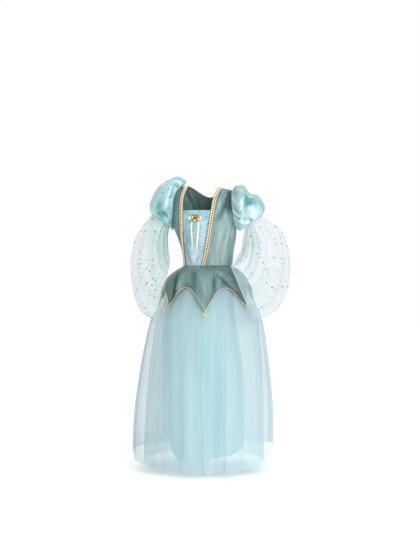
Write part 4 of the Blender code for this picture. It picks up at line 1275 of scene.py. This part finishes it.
centre, across, up, outward = insert_frame(BROCADE + LAID_GAP + KNOT + LOOP_RISE + SEAM_GAP)
leaf_places = []
for leaf in range(LEAVES):
    turn = 2 * math.pi * leaf / LEAVES
    along = math.cos(turn) * across + math.sin(turn) * up
    wide = np.cross(outward, along)
    out = math.hypot(math.cos(turn) * ROSETTE_WIDTH / 2, math.sin(turn) * ROSETTE_HEIGHT / 2)
    leaf_places.append((centre + along * out * LEAF_MIDDLE + outward * 1.0 * MM,
                        along * out * LEAF_REACH, wide * 3.6 * MM, outward * 1.9 * MM))
pearl_places = []
for degrees in PEARL_TURNS:
    turn = math.radians(degrees)
    along = (math.cos(turn) * across * ROSETTE_WIDTH + math.sin(turn) * up * ROSETTE_HEIGHT) / 2
    pearl_places.append((centre + along * PEARL_PLACE + outward * 3.0 * MM,
                         across * 3.0 * MM, up * 3.0 * MM, outward * 2.6 * MM))
many("rosette_leaves", sphere_points(8, 12), leaf_places, old_gilt, ["rosette"])
many("rosette_pearls", sphere_points(7, 10), pearl_places, pearl)
many("rosette_stone", sphere_points(8, 14), [
    (centre + outward * 1.6 * MM, across * 5.0 * MM, up * 4.6 * MM, outward * 2.4 * MM),
], garnet)
grain_places = []
for grain in range(GRAINS):
    turn = 2 * math.pi * grain / GRAINS
    grain_places.append((
        centre + (math.cos(turn) * across * 6.2 + math.sin(turn) * up * 5.7 + outward * 2.2) * MM,
        across * 1.0 * MM, up * 1.0 * MM, outward * 1.0 * MM))
many("rosette_grains", sphere_points(5, 8), grain_places, gold_bead)

TailRow = namedtuple("TailRow", "along level angle")
TAILS = {
    "tail_left": [
        TailRow(0.0, 1.085, -22.5), TailRow(0.3, 0.980, -25.0),
        TailRow(0.6, 0.780, -28.4), TailRow(1.0, 0.500, -33.0),
    ],
    "tail_right": [
        TailRow(0.0, 1.085, -10.5), TailRow(0.3, 0.940, -12.5),
        TailRow(0.6, 0.700, -18.0), TailRow(1.0, 0.368, -26.3),
    ],
}
TAIL_WIDTH = 7.4 * MM
TAIL_LIFT = 1.4 * MM
for name, rows in TAILS.items():
    def tail(u, v):
        down = 1 - v - 0.05 * (u - 0.5) * ramp(1 - v, 0.8, 1.0)
        level = smooth(rows, "level", down)
        angle = smooth(rows, "angle", down)
        return torso(beside(angle, level, (u - 0.5) * TAIL_WIDTH), level)

    u = np.linspace(0, 1, 7)
    v = np.linspace(0, 1, 60)
    grid_u, grid_v = np.meshgrid(u, v)
    down = 1 - grid_v
    wave = 1.2 * MM * (1 - np.cos(down * 2.5 * math.pi)) / 2 + 0.5 * MM * np.sin(9 * down) ** 2
    cup = 0.5 * MM * (2 * grid_u - 1) ** 2
    lift = BROCADE + LAID_GAP + TAIL_LIFT + wave + cup
    pieces[name] = cloth(name, lifted(tail, u, v, lift), ribbon, [name], thickness=0.5 * MM)

# %% [markdown]
# **Sequins** are scattered on the organza, the puffs and the insert: dark foil ones about 35 mm
# apart and many pale ones as fine as glitter. Each is a thin disc that lies on the cloth,
# placed at a random point of its grid with a fixed seed, so every run gives the same dress.

# %% Sequins
Scatter = namedtuple("Scatter", "kind part count radius material seed")
SCATTERED = [
    Scatter("sequins", "bell", 90, 2.4 * MM, dark_sequin, 0),
    Scatter("glitter", "bell", 1000, 0.9 * MM, pale_sequin, 10),
    Scatter("sequins", "puff", 26, 2.2 * MM, dark_sequin, 20),
]
DISC_LIFT = 0.25 * MM
DISC_THICKNESS = 0.2 * MM


def disc_shape(sides):
    turns = np.linspace(0, 2 * math.pi, sides, endpoint=False)
    rim = np.stack([np.cos(turns), np.sin(turns), np.zeros(sides)], axis=1)
    points = np.concatenate([rim, rim + [0, 0, 1], [[0, 0, 1.15]]])
    faces = [tuple(range(sides))[::-1]]
    for a in range(sides):
        b = (a + 1) % sides
        faces += [(a, b, b + sides, a + sides), (a + sides, b + sides, 2 * sides)]
    return points, faces


def scatter(name, surface, across, up, count, radius, material, seed, lift=0.0):
    """Thin discs at random places of a surface, spread evenly by area."""
    pick = np.random.default_rng(seed)
    grid = lifted(surface, across, up, lift)
    along = np.gradient(grid, axis=1)
    rise = np.gradient(grid, axis=0)
    normal = np.cross(along, rise)
    area = np.linalg.norm(normal, axis=-1)
    chosen = pick.choice(area.size, size=count, replace=False, p=(area / area.sum()).reshape(-1))
    places = []
    for spot in chosen:
        row, column = divmod(int(spot), area.shape[1])
        out = normal[row, column] / area[row, column]
        side = along[row, column] / np.linalg.norm(along[row, column])
        size = radius * pick.uniform(0.75, 1.2)
        places.append((grid[row, column] + out * DISC_LIFT, side * size, np.cross(out, side) * size,
                       out * DISC_THICKNESS))
    return many(name, disc_shape(6), places, material)


ROUND = np.linspace(0, 2 * math.pi, 400, endpoint=False)
ALONG_SLEEVE = np.linspace(0.03, 0.985, 240)
SLEEVE_SURFACES = {"bell": bell_surface, "puff": puff_surface}
glitter = {}
for side_name, side in SIDES.items():
    for kind, part, count, radius, material, seed in SCATTERED:
        glitter.setdefault(f"{part}_{side_name}", []).append(scatter(
            f"{kind}_{part}_{side_name}", SLEEVE_SURFACES[part](side_name), ROUND, ALONG_SLEEVE,
            count, radius, material, 3 + side + seed))
glitter["insert"] = [scatter(
    "sequins_insert", insert_surface, np.linspace(0.1, 0.9, 60), np.linspace(0.1, 1.2, 90), 11,
    1.5 * MM, dark_sequin, 5, BROCADE + 1.2 * MM)]

# %% [markdown]
# The bell's cuff has a narrow **rolled hem**: a fine tube along its last row. The organza is
# doubled there, so it shows as a thin grey-green line.

# %% Rolled hems
ROLL_RADIUS = 0.9 * MM
rolled = finish("rolled_organza_hem", "b4cbc6", {"Roughness": 0.55, "Sheen Weight": 0.3})[0]
for side_name in SIDES:
    around = np.linspace(0, 2 * math.pi, 700)
    points = bell_surface(side_name)(around, np.ones(700))
    centre = points.mean(axis=0)
    glitter[f"bell_{side_name}"].append(cord_mesh(
        f"hem_bell_{side_name}", points, points - centre, ROLL_RADIUS, rolled, lobes=0.0))

# %% [markdown]
# For each cloth piece except the ribbon's tails, the size that it would be cut to is worked
# out. The width is its longest row and the length its longest column, and the area is measured,
# because most pieces are not rectangles. The ribbon's tails are narrower than a sheet may be.

LEAST_SHARE = 0.31
for name, obj in pieces.items():
    if name.startswith("tail"):
        continue
    width = obj["cut_width"]
    length = obj["cut_length"]
    area = sum(face.area for face in obj.data.polygons)
    area = max(min(area, width * length), LEAST_SHARE * width * length)
print(sum(not name.startswith("tail") for name in pieces), "sheets")

# %% [markdown]
# The **studio** is a pale floor below the hem, which glows a little so that shadows stay faint,
# with soft light from the right front and a white surround. The camera stands level, a little
# below the waist and far back, as for a catalogue picture.

# %% Studio
FLOOR = -1.05
FLOOR_RADIUS = 14
EYE = (0.01875, -4.2, -0.345)
LIGHT_ON_CLOTH = 0.42
bpy.ops.mesh.primitive_circle_add(
    vertices=96, radius=FLOOR_RADIUS, fill_type="NGON", location=(0, 0, FLOOR))
floor = bpy.context.object
floor.name = "floor"
floor.data.materials.append(finish("lit_studio_floor", "fcfcfc", {
    "Roughness": 0.9, "Emission Color": linear("ffffff"), "Emission Strength": 0.22,
})[0])

scene = bpy.context.scene
world = bpy.data.worlds.new("studio")
scene.world = world
world.use_nodes = True
sky = world.node_tree
surround = sky.nodes["Background"]
seen = add_node(sky, "ShaderNodeLightPath", {}, {})
white = add_node(sky, "ShaderNodeMix", {"data_type": "FLOAT", 2: LIGHT_ON_CLOTH, 3: 1.0}, {
    0: seen.outputs["Is Camera Ray"],
})
surround.inputs["Color"].default_value = linear("ffffff")
sky.links.new(white.outputs[0], surround.inputs["Strength"])

Lamp = namedtuple("Lamp", "name towards spread strength")
LAMPS = [
    Lamp("key", (-0.52, 0.73, -0.42), 45, 1.85),
    Lamp("top", (0.05, -0.10, -1.0), 60, 1.25),
    Lamp("fill", (0.8, 0.6, -0.1), 60, 0.12),
]
for lamp in LAMPS:
    data = bpy.data.lights.new(lamp.name, "SUN")
    data.angle = math.radians(lamp.spread)
    data.energy = lamp.strength
    light = bpy.data.objects.new(lamp.name, data)
    light.rotation_euler = Vector(lamp.towards).to_track_quat("-Z", "Y").to_euler()
    scene.collection.objects.link(light)

view = bpy.data.cameras.new("camera")
view.lens = 72
view.sensor_width = 36
camera = bpy.data.objects.new("camera", view)
camera.location = EYE
camera.rotation_euler = (math.radians(90), 0, 0)
scene.collection.objects.link(camera)
scene.camera = camera
scene.view_settings.view_transform = "Standard"
scene.cycles.transparent_max_bounces = 48
print(len(LAMPS), "lamps")
